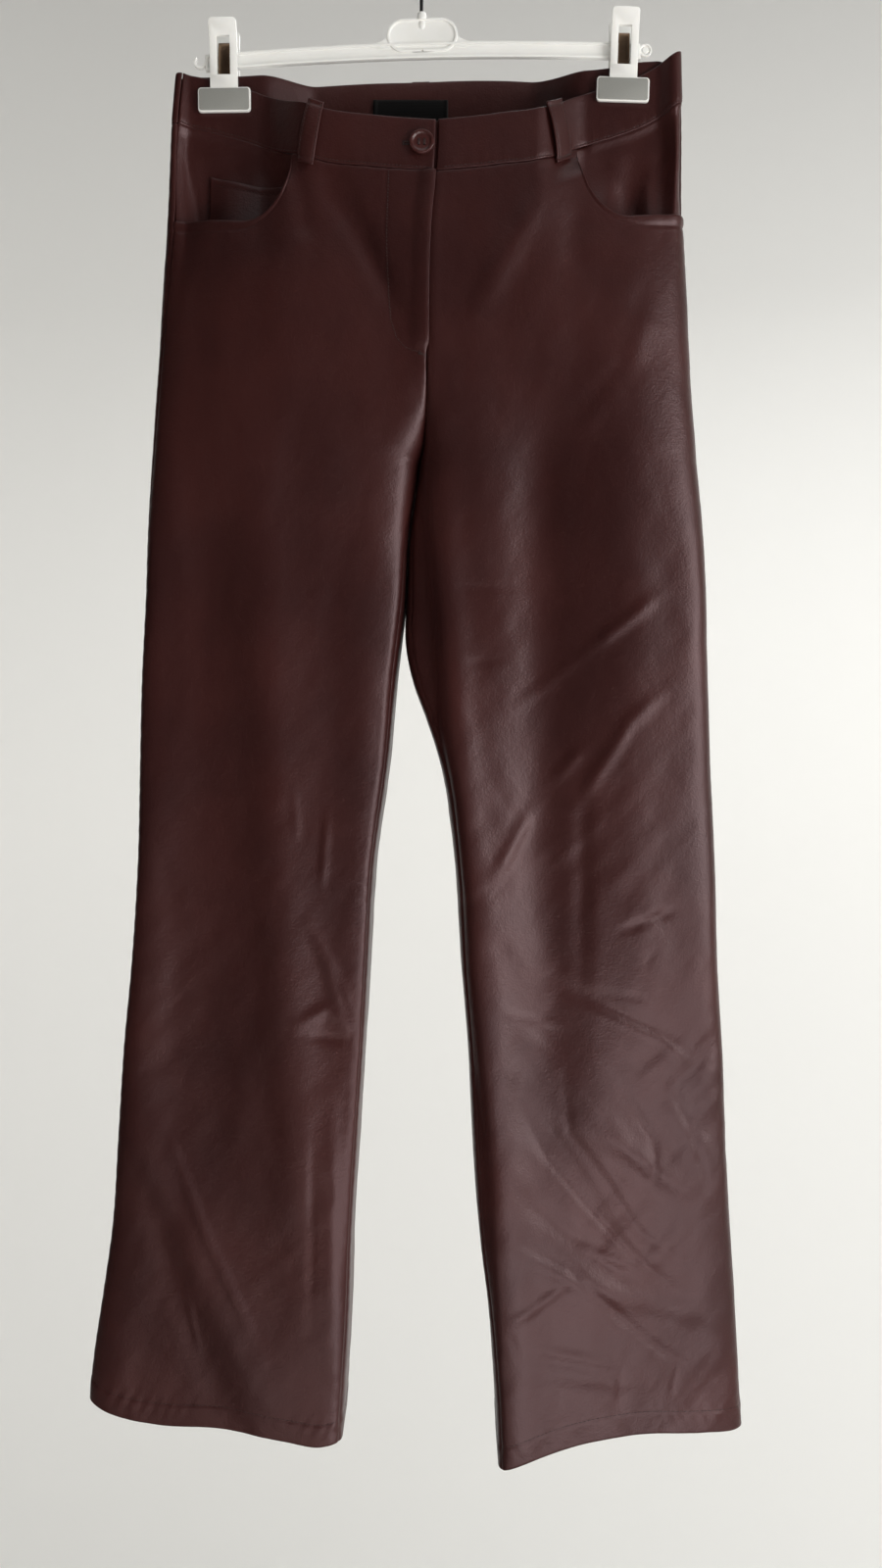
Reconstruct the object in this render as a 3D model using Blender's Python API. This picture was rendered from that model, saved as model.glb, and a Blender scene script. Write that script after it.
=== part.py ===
"""Faux leather trousers hanging from a white clip hanger. Metres, +Z up, the origin at the inner top of the
hook's bend, where a rail carries it. The front faces -Y. Right and left are the wearer's: right is at -X."""

import math

import bmesh
import bpy
import numpy as np
from mathutils import Matrix, Vector

# ---- driving sizes -------------------------------------------------------------------------------------
CLOTH = 0.0012  # faux leather on its knitted back
BAND_CLOTH = 0.0022  # the waistband: cloth folded over a stiffener
SEAM_GAP = 0.0003  # between pieces that are sewn together
LAYER = 0.0005  # clear space between a piece and the one that it lies on
RIGHT, LEFT = -1, 1

WAISTBAND_HEIGHT = 0.0400
BAND_PROUD = 0.0004  # the waistband stands this much proud of the panels
CROTCH_Z = -0.4250

# Exponent of the level sections, by height: 2 is an ellipse, more is squarer. The legs hang nearly flat.
ROUNDNESS_AT = (-1.1700, -0.7500, -0.5500, -0.4250, -0.2500, -0.1650)
ROUNDNESS = (8.0, 8.0, 7.0, 4.6, 3.0, 2.7)

# The waist's upper edge, by share of the way from the centre to the side seam. It dips at the front.
WAIST_COLUMNS = ("share", "front_right", "back_right", "front_left", "back_left")
WAIST_ROWS = (
    (0.00, -0.1690, -0.1125, -0.1690, -0.1125),
    (0.23, -0.1655, -0.1140, -0.1640, -0.1112),
    (0.43, -0.1592, -0.1170, -0.1555, -0.1130),
    (0.54, -0.1505, -0.1190, -0.1395, -0.1160),
    (0.70, -0.1345, -0.1210, -0.1285, -0.1140),
    (0.80, -0.1290, -0.1215, -0.1210, -0.1098),
    (0.88, -0.1248, -0.1210, -0.1125, -0.1085),
    (1.00, -0.1205, -0.1205, -0.1020, -0.1020),
)

# The hems, by share of the way from the inseam to the side seam.
HEM_COLUMNS = ("share", "front_right", "back_right", "front_left", "back_left")
HEM_ROWS = (
    (0.00, -1.1605, -1.1605, -1.1715, -1.1715),
    (0.07, -1.1630, -1.1580, -1.1668, -1.1680),
    (0.20, -1.1605, -1.1560, -1.1600, -1.1620),
    (0.45, -1.1555, -1.1550, -1.1557, -1.1590),
    (0.70, -1.1572, -1.1530, -1.1618, -1.1580),
    (0.87, -1.1530, -1.1490, -1.1637, -1.1570),
    (1.00, -1.1450, -1.1450, -1.1575, -1.1575),
)

# The centre front and centre back seams, and how far each has dropped back into the crotch.
CENTRE_COLUMNS = ("z", "front_x", "back_x", "front_drop", "back_drop")
CENTRE_ROWS = (
    (-0.1000, 0.0105, -0.0010, 0.00, 0.00),
    (-0.1940, 0.0105, -0.0010, 0.00, 0.00),
    (-0.2560, 0.0055, -0.0005, 0.00, 0.00),
    (-0.3320, 0.0040, 0.0000, 0.00, 0.06),
    (-0.3700, 0.0042, 0.0000, 0.10, 0.22),
    (-0.4000, 0.0030, -0.0005, 0.40, 0.52),
    (-0.4150, 0.0010, -0.0010, 0.72, 0.78),
    (-0.4250, -0.0020, -0.0020, 1.00, 1.00),
)

# Level sections of each side: the inner and outer extremes, how far the cloth stands to the front and back
# of the line between them, where its crest lies, and how far round to the front each seam has turned, in
# radians.
SECTION_COLUMNS = (
    "z", "inner_x", "inner_y", "outer_x", "outer_y", "front", "back", "crest", "inner_turn", "outer_turn"
)
RIGHT_ROWS = (
    (-0.1000, 0.0000, 0.0000, -0.1883, 0.0000, 0.0270, 0.0270, 0.10, 0.00, 0.30),
    (-0.1600, 0.0000, 0.0000, -0.1933, 0.0000, 0.0310, 0.0320, 0.10, 0.00, 0.30),
    (-0.2330, 0.0000, 0.0000, -0.1963, 0.0020, 0.0370, 0.0460, 0.12, 0.00, 0.34),
    (-0.2900, 0.0000, 0.0000, -0.1997, 0.0040, 0.0410, 0.0540, 0.16, 0.00, 0.34),
    (-0.3660, 0.0000, 0.0060, -0.2037, 0.0060, 0.0460, 0.0540, 0.28, 0.00, 0.34),
    (-0.4250, -0.0020, 0.0120, -0.2067, 0.0080, 0.0500, 0.0500, 0.42, 0.00, 0.34),
    (-0.4760, -0.0095, 0.0120, -0.2090, 0.0080, 0.0490, 0.0470, 0.50, 0.25, 0.30),
    (-0.5330, -0.0130, 0.0100, -0.2108, 0.0090, 0.0480, 0.0460, 0.50, 0.35, 0.28),
    (-0.5870, -0.0190, 0.0080, -0.2134, 0.0100, 0.0470, 0.0450, 0.50, 0.40, 0.28),
    (-0.6550, -0.0250, 0.0060, -0.2150, 0.0110, 0.0460, 0.0440, 0.50, 0.40, 0.28),
    (-0.7290, -0.0350, 0.0030, -0.2170, 0.0130, 0.0450, 0.0430, 0.50, 0.40, 0.28),
    (-0.8120, -0.0400, 0.0000, -0.2230, 0.0160, 0.0430, 0.0430, 0.50, 0.40, 0.26),
    (-0.8660, -0.0430, -0.0020, -0.2288, 0.0190, 0.0420, 0.0430, 0.50, 0.40, 0.26),
    (-0.9440, -0.0480, -0.0050, -0.2344, 0.0220, 0.0410, 0.0430, 0.50, 0.40, 0.24),
    (-1.0150, -0.0520, -0.0070, -0.2400, 0.0250, 0.0400, 0.0430, 0.50, 0.40, 0.24),
    (-1.0610, -0.0535, -0.0080, -0.2468, 0.0270, 0.0400, 0.0430, 0.50, 0.40, 0.24),
    (-1.1220, -0.0570, -0.0090, -0.2562, 0.0300, 0.0400, 0.0430, 0.50, 0.40, 0.24),
    (-1.1700, -0.0600, -0.0100, -0.2602, 0.0320, 0.0400, 0.0430, 0.50, 0.40, 0.24),
)
LEFT_ROWS = (
    (-0.1000, 0.0000, 0.0000, 0.2006, 0.0000, 0.0270, 0.0270, 0.10, 0.00, 0.00),
    (-0.1600, 0.0000, 0.0000, 0.2016, 0.0000, 0.0310, 0.0320, 0.10, 0.00, 0.00),
    (-0.2330, 0.0000, 0.0000, 0.2020, 0.0020, 0.0370, 0.0460, 0.12, 0.00, 0.00),
    (-0.2900, 0.0000, 0.0000, 0.2050, 0.0040, 0.0410, 0.0540, 0.16, 0.00, 0.00),
    (-0.3660, 0.0000, 0.0060, 0.2076, 0.0060, 0.0460, 0.0540, 0.28, 0.00, 0.00),
    (-0.4250, -0.0020, 0.0120, 0.2112, 0.0080, 0.0500, 0.0500, 0.42, 0.00, 0.00),
    (-0.4760, -0.0090, 0.0140, 0.2150, 0.0080, 0.0500, 0.0480, 0.50, 0.30, 0.00),
    (-0.5330, -0.0118, 0.0140, 0.2171, 0.0090, 0.0500, 0.0480, 0.50, 0.50, 0.00),
    (-0.5600, -0.0122, 0.0100, 0.2178, 0.0095, 0.0495, 0.0475, 0.50, 0.52, 0.00),
    (-0.5870, -0.0076, 0.0060, 0.2186, 0.0100, 0.0490, 0.0470, 0.50, 0.55, 0.00),
    (-0.6200, 0.0035, 0.0020, 0.2197, 0.0105, 0.0485, 0.0465, 0.50, 0.55, 0.00),
    (-0.6550, 0.0142, -0.0020, 0.2208, 0.0110, 0.0480, 0.0460, 0.50, 0.55, 0.00),
    (-0.7290, 0.0255, -0.0080, 0.2242, 0.0120, 0.0460, 0.0450, 0.50, 0.50, 0.00),
    (-0.8120, 0.0305, -0.0130, 0.2271, 0.0140, 0.0450, 0.0450, 0.50, 0.50, 0.00),
    (-0.8660, 0.0350, -0.0150, 0.2306, 0.0160, 0.0440, 0.0450, 0.50, 0.50, 0.00),
    (-0.9440, 0.0395, -0.0180, 0.2341, 0.0190, 0.0430, 0.0450, 0.50, 0.50, 0.00),
    (-1.0150, 0.0445, -0.0210, 0.2385, 0.0220, 0.0430, 0.0450, 0.50, 0.45, 0.00),
    (-1.0610, 0.0500, -0.0230, 0.2421, 0.0240, 0.0430, 0.0450, 0.50, 0.45, 0.00),
    (-1.1220, 0.0550, -0.0260, 0.2453, 0.0270, 0.0430, 0.0450, 0.50, 0.45, 0.00),
    (-1.1700, 0.0570, -0.0280, 0.2477, 0.0280, 0.0430, 0.0450, 0.50, 0.45, 0.00),
)

# The clips press the waist flat, and the cloth below each one hangs in a valley.
VALLEY_FLAT = 0.0260  # half the width that the clip's foot presses flat
VALLEY_INNER, VALLEY_OUTER = 0.0700, 0.0440  # where the valley has faded, towards the centre and the side
VALLEY_TOP, VALLEY_END = -0.1700, -0.3100
PRESSED_Y = 0.0022  # outer face of each pressed layer
FRONT_PULL = 0.35  # share of the valley that the front panels follow below the pocket mouths
FRONT_PULL_BELOW = 0.0300  # from the waist seam, where they follow it wholly, down to where that share holds

# Pocket mouths: from the waist seam down a quarter round to an edge that goes out to the side seam.
MOUTHS = {
    RIGHT: {"start": 0.540, "round": 0.705, "edge_z": -0.2437, "side_z": -0.2385},
    LEFT: {"start": 0.533, "round": 0.715, "edge_z": -0.2390, "side_z": -0.2315},
}
BEARER_BELOW = 0.0160
COIN_CLOTH = 0.0010

# The largest folds: a line from (x0, z0) to (x1, z1), its half width, and how far it stands out.
# A negative height sinks in.
FOLD_COLUMNS = ("face", "x0", "z0", "x1", "z1", "width", "height")
FOLDS = (
    ("front", -0.176, -0.540, -0.168, -0.930, 0.038, -0.0065),
    ("front", -0.185, -0.330, -0.176, -0.540, 0.036, -0.0045),
    ("front", 0.090, -0.440, 0.094, -0.850, 0.028, -0.0070),
    ("front", 0.090, -0.940, 0.190, -1.080, 0.030, -0.0025),
    ("front", -0.200, -0.960, -0.130, -1.110, 0.022, 0.0040),
    ("front", -0.072, -0.215, -0.030, -0.310, 0.022, -0.0035),
    ("back", -0.130, -0.480, -0.135, -0.900, 0.028, -0.0060),
    ("back", 0.125, -0.460, 0.130, -0.860, 0.028, -0.0060),
    ("back", -0.160, -0.940, -0.090, -1.080, 0.024, 0.0045),
    ("back", 0.170, -0.930, 0.110, -1.090, 0.024, 0.0045),
)

# Rows of each leg panel under the pocket mouths, close together round the crotch.
PANEL_LEVELS = (
    -0.248, -0.275, -0.305, -0.335, -0.365, -0.388, -0.405, -0.417, -0.4249, -0.433, -0.450,
    -0.476, -0.510, -0.550, -0.600, -0.655, -0.720, -0.790, -0.865, -0.940, -1.010, -1.080,
)
UPPER_ROWS = 4
FRONT_SHARES = (
    0, 0.03, 0.08, 0.16, 0.27, 0.38, 0.48, 0.505, 0.53, 0.58, 0.64, 0.70, 0.77, 0.84, 0.90, 0.95, 1,
)
BACK_SHARES = (0, 0.03, 0.07, 0.13, 0.22, 0.34, 0.46, 0.56, 0.64, 0.70, 0.77, 0.84, 0.90, 0.95, 1)

BAND_ROWS = 4
UNDERLAP_SHARES = (0.17, 0.11, 0.05, 0.006)  # of the right side, behind its waistband

# The coin pocket's slanting upper edge, on the right bearer.
COIN_INNER = {"share": 0.590, "z": -0.2120}
COIN_OUTER = {"share": 0.880, "z": -0.1970}
COIN_BELOW = 0.0100

ZIP_SHARES = ((0.07, 0.03, 0.007), (0.007, 0.03, 0.07))  # right side, then left side
FLY_SHARES = ((0.05, 0.03, 0.007), (0.007, 0.03, 0.08, 0.16))
ZIP_END_Z, FLY_END_Z = -0.3250, -0.3370

# Belt loops: the shares of their columns at the waist's edge on each side, how far their lower ends are
# shifted, and how far they stand above the waistband.
LOOP_COLUMNS = ("face", "right", "left", "slant", "above")
BELT_LOOPS = (
    ("front", (0.420, 0.449, 0.478), (), 0.035, 0.0030),
    ("front", (), (0.409, 0.440, 0.470), 0.037, 0.0030),
    ("back", (0.36, 0.39, 0.42), (), 0.0, -0.0005),
    ("back", (0.032, 0.003), (0.003, 0.032), 0.0, 0.0015),
    ("back", (), (0.36, 0.39, 0.42), 0.0, -0.0005),
)
LOOP_ROWS = 9
LOOP_CLOTH = 0.0014
LOOP_BOW = 0.0020
LOOP_BELOW = 0.0065

LABEL_SHARES = {RIGHT: (0.175, 0.09, 0.006), LEFT: (0.006, 0.10)}
LABEL_TOP_Z, LABEL_HEIGHT, LABEL_CLOTH = -0.1270, 0.0220, 0.0010

BUTTON_SHARE, BUTTON_Z = 0.050, -0.1885
BUTTON_STEPS = 24
BUTTON_PROFILE = (  # radius, height
    (0.0, 0.0), (0.0086, 0.0), (0.0093, 0.0007), (0.0093, 0.0025),
    (0.0087, 0.0031), (0.0076, 0.0031), (0.0067, 0.0021), (0.0, 0.0018),
)
BUTTONHOLE = (0.0210, 0.0120, 0.0012)
BUTTONHOLE_SHIFT = (-0.0030, 0.0, 0.0)

# ---- hanger sizes, in its own frame: the origin is the top of the socket that holds the hook ------------
SOCKET_Z = -0.0722
HANGER_TILT = math.radians(1.5)  # the left end of the trousers hangs the higher
SOCKET_RADIUS, SOCKET_LENGTH = 0.0030, 0.0060
BAR_HALF = 0.1720
BAR_Z, BAR_ARCH = -0.0296, 0.0057
BAR_HEIGHT, BAR_DEPTH, BAR_WEB, BAR_FLANGE = 0.0122, 0.0046, 0.0024, 0.0022
BAR_STATIONS, BAR_END_RADIUS = 9, 0.0050
PLATE_Z, PLATE_WIDTH, PLATE_HEIGHT, PLATE_RIM, OVAL_STEPS = -0.0178, 0.0550, 0.0260, 0.0022, 8
WIRE, HOOK_RADIUS = 0.0029, 0.0200
HOOK_START, HOOK_END = -42, 196  # degrees round the hook's own centre

# A clip, about the middle of the bar: distance out from the middle plane and height.
CLIP_X = {RIGHT: -0.1536, LEFT: 0.1556}
CLIP_LEAN = {RIGHT: math.radians(-0.8), LEFT: math.radians(1.8)}  # both feet lean in
JAW_WIDTH = 0.0212
JAW_PROFILE = (
    (0.0032, -0.0260), (0.0040, -0.0120), (0.0042, 0.0090), (0.0104, 0.0290), (0.0131, 0.0285),
    (0.0072, 0.0085), (0.0068, -0.0130), (0.0058, -0.0260),
)
FOOT_INNER, FOOT_THICK, FOOT_Z = 0.0032, 0.0026, -0.0315
FOOT_WIDTH, FOOT_HEIGHT = 0.0405, 0.0188
PAD_THICK, PAD_RIM = 0.0008, 0.0016
WINDOW_WIDTH, WINDOW_HEIGHT, WINDOW_Z = 0.0100, 0.0290, 0.0020
SPRING_GAP, SPRING_THICK, SPRING_WIDTH = 0.0029, 0.0006, 0.0085
SPRING_TOP, SPRING_END = 0.0110, -0.0140


# ---- the cloth's surface -------------------------------------------------------------------------------
class Table:
    """Rows of named columns, read at any place between them along a smooth cubic."""

    def __init__(self, columns, rows):
        rows = np.array(sorted(rows), float)
        self.at = rows[:, 0]
        self.values = {name: rows[:, i] for i, name in enumerate(columns)}
        self.slopes = {name: np.gradient(column, self.at) for name, column in self.values.items()}

    def __call__(self, name, place):
        place = np.clip(place, self.at[0], self.at[-1])
        i = np.clip(np.searchsorted(self.at, place) - 1, 0, len(self.at) - 2)
        span = self.at[i + 1] - self.at[i]
        t = (place - self.at[i]) / span
        start, end = self.values[name][i], self.values[name][i + 1]
        rise, fall = self.slopes[name][i] * span, self.slopes[name][i + 1] * span
        bend = (2 * start - 2 * end + rise + fall) * t + (3 * end - 3 * start - 2 * rise - fall)
        return (bend * t + rise) * t + start


WAIST = Table(WAIST_COLUMNS, WAIST_ROWS)
HEM = Table(HEM_COLUMNS, HEM_ROWS)
CENTRE = Table(CENTRE_COLUMNS, CENTRE_ROWS)
SECTIONS = {RIGHT: Table(SECTION_COLUMNS, RIGHT_ROWS), LEFT: Table(SECTION_COLUMNS, LEFT_ROWS)}
SIDE_NAMES = {RIGHT: "right", LEFT: "left"}
CURVE_WAY = np.array([-0.01, *np.linspace(0, 1, 72), 1.01])  # a little past each seam, for the normals


def smoothstep(low, high, value):
    t = np.clip((value - low) / (high - low), 0, 1)
    return t * t * (3 - 2 * t)


def on_hanger():
    """From the hanger's own frame, origin at the top of its socket, to the part's frame."""
    return Matrix.Translation((0, 0, SOCKET_Z)) @ Matrix.Rotation(-HANGER_TILT, 4, "Y")


def bar_height(x):
    """The bar's middle, in the hanger's frame: a very flat arch."""
    return BAR_Z - BAR_ARCH * (x / BAR_HALF) ** 2


def clip_place(side):
    """From a clip's own frame, origin at the middle of the bar, to the part's frame."""
    middle = on_hanger() @ Vector((CLIP_X[side], 0, bar_height(CLIP_X[side])))
    return Matrix.Translation(middle) @ Matrix.Rotation(CLIP_LEAN[side], 4, "Y")


PRESSED_X = {side: (clip_place(side) @ Vector((0, 0, FOOT_Z))).x for side in (RIGHT, LEFT)}


def level_curves(side, face, z):
    """The panel's level section at each height in z, from the inner to the side seam: x, y and crest."""
    z = z[:, None]
    section = SECTIONS[side]
    above = z > CROTCH_Z
    inner_turn = np.where(above, 0, section("inner_turn", z))
    outer_turn = section("outer_turn", z)
    if face == "front":
        angle = inner_turn + (math.pi - outer_turn - inner_turn) * CURVE_WAY
        angle = np.where(above, np.maximum(angle, 0), angle)
    else:
        angle = inner_turn - (math.pi + outer_turn + inner_turn) * CURVE_WAY
        angle = np.where(above, np.minimum(angle, 0), angle)
    power = 2 / np.interp(z, ROUNDNESS_AT, ROUNDNESS)
    across = np.abs(np.cos(angle)) ** power
    stand = np.abs(np.sin(angle)) ** power
    inner_half = np.cos(angle) > 0
    in_front = np.sin(angle) > (-1e-9 if face == "front" else 1e-9)
    crest = section("crest", z)
    place = np.where(inner_half, crest * (1 - across), crest + (1 - crest) * across)
    drop = np.where(above, np.clip(CENTRE(face + "_drop", z), 0, 1), 1)
    stand = np.where(inner_half, 1 - drop * (1 - stand), stand)
    inner_x = np.where(above, CENTRE(face + "_x", z), section("inner_x", z)) + side * SEAM_GAP / 2
    x = inner_x + (section("outer_x", z) - inner_x) * place
    middle = section("inner_y", z) + (section("outer_y", z) - section("inner_y", z)) * place
    y = middle + np.where(in_front, -section("front", z), section("back", z)) * stand
    return x, y, np.where(in_front, -stand, stand)


def fold_height(face, x, z):
    """How far the folds of one face stand out at (x, z)."""
    height = np.zeros(len(x))
    for row in FOLDS:
        fold = dict(zip(FOLD_COLUMNS, row))
        if fold["face"] != face:
            continue
        run_x, run_z = fold["x1"] - fold["x0"], fold["z1"] - fold["z0"]
        length = math.hypot(run_x, run_z)
        along = ((x - fold["x0"]) * run_x + (z - fold["z0"]) * run_z) / length
        aside = ((x - fold["x0"]) * run_z - (z - fold["z0"]) * run_x) / length
        beyond = np.maximum(0, np.maximum(-along, along - length))
        far = (aside / fold["width"]) ** 2 + (beyond / (2 * fold["width"])) ** 2
        height += fold["height"] * np.exp(-far)
    return height


def lay(side, face, share, z, pull):
    """The cloth's outer face at a share of the way from the inner seam to the side seam, at height z."""
    x, y, stand = level_curves(side, face, z)
    run = np.cumsum(np.hypot(np.diff(x), np.diff(y)), axis=1)
    run = np.hstack([np.zeros((len(z), 1)), run]) - run[:, :1]
    inner_gap = np.where(z > CROTCH_Z, 0, SEAM_GAP / 2)
    wanted = share * (run[:, -2] - inner_gap - SEAM_GAP / 2) + inner_gap
    x, y, stand = (
        np.array([np.interp(place, run[i], curve[i]) for i, place in enumerate(wanted)])
        for curve in (x, y, stand)
    )
    aside = side * (x - PRESSED_X[side])
    faded = np.where(aside > 0, VALLEY_OUTER, VALLEY_INNER)
    pinch = 1 - smoothstep(VALLEY_FLAT, faded, np.abs(aside))
    pinch = pinch * smoothstep(VALLEY_END, VALLEY_TOP, z) * pull
    y = y * (1 - pinch) + PRESSED_Y * np.clip(stand / 0.45, -1, 1) * pinch
    y = y + stand * np.where(stand < 0, fold_height("front", x, z), fold_height("back", x, z))
    return np.stack([x, y, z], axis=1)


def cloth_points(side, face, share, z, out=0.0, pull=1.0):
    """Points on the cloth, moved out along its normal. share, z, out and pull are arrays or numbers."""
    share, z, out, pull = np.broadcast_arrays(share, z, out, pull)
    shape = share.shape
    share, z, out, pull = (values.astype(float).ravel() for values in (share, z, out, pull))
    step_share, step_z = 0.004, 0.0008
    along = lay(side, face, share + step_share, z, pull) - lay(side, face, share - step_share, z, pull)
    up = lay(side, face, share, z + step_z, pull) - lay(side, face, share, z - step_z, pull)
    normal = np.cross(along, up)
    normal *= side if face == "front" else -side
    normal /= np.linalg.norm(normal, axis=1, keepdims=True)
    return (lay(side, face, share, z, pull) + normal * out[:, None]).reshape(*shape, 3)


def waist_z(side, face, share):
    return WAIST(f"{face}_{SIDE_NAMES[side]}", share)


def waist_seam_z(side, face, share):
    return waist_z(side, face, share) - WAISTBAND_HEIGHT


def front_pull(side, share, z):
    """The front panels bridge the valleys, but meet the waistband and the back panels."""
    at_band = 1 - smoothstep(0, FRONT_PULL_BELOW, waist_seam_z(side, "front", share) - z)
    return FRONT_PULL + (1 - FRONT_PULL) * np.maximum(at_band, smoothstep(0.82, 1.0, share))


def edge_z(side, share):
    """The lower edge of a pocket mouth."""
    mouth = MOUTHS[side]
    return np.interp(share, (mouth["round"], 1), (mouth["edge_z"], mouth["side_z"]))


def mouth_z(side, share):
    """Upper edge of a front panel: the waist seam, then the quarter round and the pocket's lower edge."""
    start, end = MOUTHS[side]["start"], MOUTHS[side]["round"]
    seam = waist_seam_z(side, "front", np.minimum(share, start))
    turned = np.clip((share - start) / (end - start), 0, 1)
    return seam - SEAM_GAP - (seam - edge_z(side, share)) * (1 - (1 - turned) ** 2) ** 0.5


# ---- making solids -------------------------------------------------------------------------------------
def clear_scene():
    for old in list(bpy.data.objects):
        bpy.data.objects.remove(old, do_unlink=True)


def material(name, colour, roughness, metallic=0.0):
    made = bpy.data.materials.new(name)
    made.use_nodes = True
    shader = made.node_tree.nodes["Principled BSDF"]
    shader.inputs["Base Color"].default_value = (*colour, 1)
    shader.inputs["Roughness"].default_value = roughness
    shader.inputs["Metallic"].default_value = metallic
    made.diffuse_color = (*colour, 1)
    return made


def new_object(name, bm, finish, smooth=True):
    """Links the mesh as an object, and shades it smooth with sharp corners if asked."""
    bmesh.ops.recalc_face_normals(bm, faces=bm.faces)
    mesh = bpy.data.meshes.new(name)
    bm.to_mesh(mesh)
    bm.free()
    if smooth:
        mesh.shade_smooth()
        mesh.set_sharp_from_angle(angle=math.radians(35))
    mesh.materials.append(finish)
    made = bpy.data.objects.new(name, mesh)
    bpy.context.scene.collection.objects.link(made)
    return made


def shell(name, outer, inner, finish):
    """A closed wall between two grids of points, each rows by columns."""
    rows, columns = outer.shape[:2]
    bm = bmesh.new()
    faces = [[[bm.verts.new(point) for point in row] for row in grid] for grid in (outer, inner)]
    for r in range(rows - 1):
        for c in range(columns - 1):
            for grid in faces:
                bm.faces.new((grid[r][c], grid[r][c + 1], grid[r + 1][c + 1], grid[r + 1][c]))
    border = [(0, c) for c in range(columns)] + [(r, columns - 1) for r in range(1, rows)]
    border += [(rows - 1, c) for c in range(columns - 2, -1, -1)] + [(r, 0) for r in range(rows - 2, 0, -1)]
    for (r, c), (next_r, next_c) in zip(border, border[1:] + border[:1]):
        start, end = [grid[r][c] for grid in faces], [grid[next_r][next_c] for grid in faces]
        bm.faces.new((start[0], start[1], end[1], end[0]))
    return new_object(name, bm, finish)


def patch(name, stretches, thick, finish):
    """A piece of cloth over stretches of (side, face, share, z, out, pull), which join column to column."""
    outer, inner = [], []
    for side, face, share, z, out, pull in stretches:
        outer.append(cloth_points(side, face, share, z, out, pull))
        inner.append(cloth_points(side, face, share, z, out - thick, pull))
    return shell(name, np.concatenate(outer, axis=1), np.concatenate(inner, axis=1), finish)


def box(name, centre, size, finish, turn=Matrix()):
    bm = bmesh.new()
    bmesh.ops.create_cube(bm, size=1)
    bm.transform(Matrix.Translation(centre) @ turn @ Matrix.Diagonal((*size, 1)))
    return new_object(name, bm, finish, smooth=False)


def prism(name, outline, low, high, axis, finish):
    """An outline (two coordinates a point) pushed from low to high along axis 0 (X) or 1 (Y)."""
    bm = bmesh.new()
    ends = []
    for level in (low, high):
        ends.append([bm.verts.new((level, a, b) if axis == 0 else (a, level, b)) for a, b in outline])
    bm.faces.new(ends[0])
    bm.faces.new(ends[1])
    for i in range(len(outline)):
        j = (i + 1) % len(outline)
        bm.faces.new((ends[0][i], ends[0][j], ends[1][j], ends[1][i]))
    return new_object(name, bm, finish, smooth=False)


def combine(target, tool, operation):
    """A Boolean that uses up its tool."""
    change = target.modifiers.new(operation.lower(), "BOOLEAN")
    change.operation = operation
    change.object = tool
    change.solver = "EXACT"
    graph = bpy.context.evaluated_depsgraph_get()
    made = bpy.data.meshes.new_from_object(target.evaluated_get(graph))
    target.modifiers.clear()
    target.data = made
    bpy.data.objects.remove(tool, do_unlink=True)
    return target


# ---- trousers ------------------------------------------------------------------------------------------
def leg_panel(side, face, shares, finish):
    shares = np.array(shares)
    top = mouth_z(side, shares) if face == "front" else waist_seam_z(side, face, shares) - SEAM_GAP
    upper = np.linspace(0, 1, UPPER_ROWS, endpoint=False)[:, None]
    z = top + (PANEL_LEVELS[0] - top) * upper
    levels = np.repeat(np.array(PANEL_LEVELS)[:, None], len(shares), axis=1)
    z = np.vstack([z, levels, HEM(f"{face}_{SIDE_NAMES[side]}", shares)])
    pull = front_pull(side, shares, z) if face == "front" else 1.0
    patch(f"{face}_{SIDE_NAMES[side]}", [(side, face, shares, z, 0.0, pull)], CLOTH, finish)


def waistbands(finish):
    """The right front band runs over the left one, which goes on behind it as far as the button."""
    down = np.linspace(0, 1, BAND_ROWS)[:, None]

    def stretch(side, face, shares, out):
        shares = np.array(shares)
        z = waist_z(side, face, shares) - WAISTBAND_HEIGHT * down
        return side, face, shares, z, np.array(out), 1.0

    forward, rear = np.array(FRONT_SHARES), np.array(BACK_SHARES)
    under = BAND_PROUD - BAND_CLOTH - LAYER
    patch("waistband_front_right", [stretch(RIGHT, "front", forward, BAND_PROUD)], BAND_CLOTH, finish)
    step = np.array([0.005, 0.022, *forward[1:]])
    step_out = np.array([under, *(BAND_PROUD for _ in step[1:])])
    hidden = stretch(RIGHT, "front", UNDERLAP_SHARES, under)
    patch("waistband_front_left", [hidden, stretch(LEFT, "front", step, step_out)], BAND_CLOTH, finish)
    halves = [stretch(RIGHT, "back", rear[::-1], BAND_PROUD), stretch(LEFT, "back", rear[1:], BAND_PROUD)]
    patch("waistband_back", halves, BAND_CLOTH, finish)


def pocket_bearer(side, depth, finish):
    """The face cloth behind a pocket mouth. It lies under the front panel, deeper where a coin pocket is."""
    shares = np.array([share for share in FRONT_SHARES if share > MOUTHS[side]["start"] - 0.04])
    top = waist_seam_z(side, "front", shares) - SEAM_GAP
    foot = edge_z(side, shares) + SEAM_GAP - BEARER_BELOW * (1 - smoothstep(0.88, 0.96, shares))
    down = np.linspace(0, 1, 6)[:, None]
    out = -(CLOTH + LAYER) - depth * smoothstep(0, 0.4, down) * np.ones(len(shares))
    z = top + (foot - top) * down
    patch(f"pocket_bearer_{SIDE_NAMES[side]}", [(side, "front", shares, z, out, 1.0)], CLOTH, finish)


def coin_pocket(finish):
    inner, outer = COIN_INNER["share"], COIN_OUTER["share"]
    shares = np.array([inner, *(share for share in FRONT_SHARES if inner < share < outer), outer])
    top = np.interp(shares, (inner, outer), (COIN_INNER["z"], COIN_OUTER["z"]))
    down = np.linspace(0, 1, 4)[:, None]
    z = top + (edge_z(RIGHT, shares) - COIN_BELOW - top) * down
    patch("coin_pocket", [(RIGHT, "front", shares, z, -(CLOTH + LAYER), 1.0)], COIN_CLOTH, finish)


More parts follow.
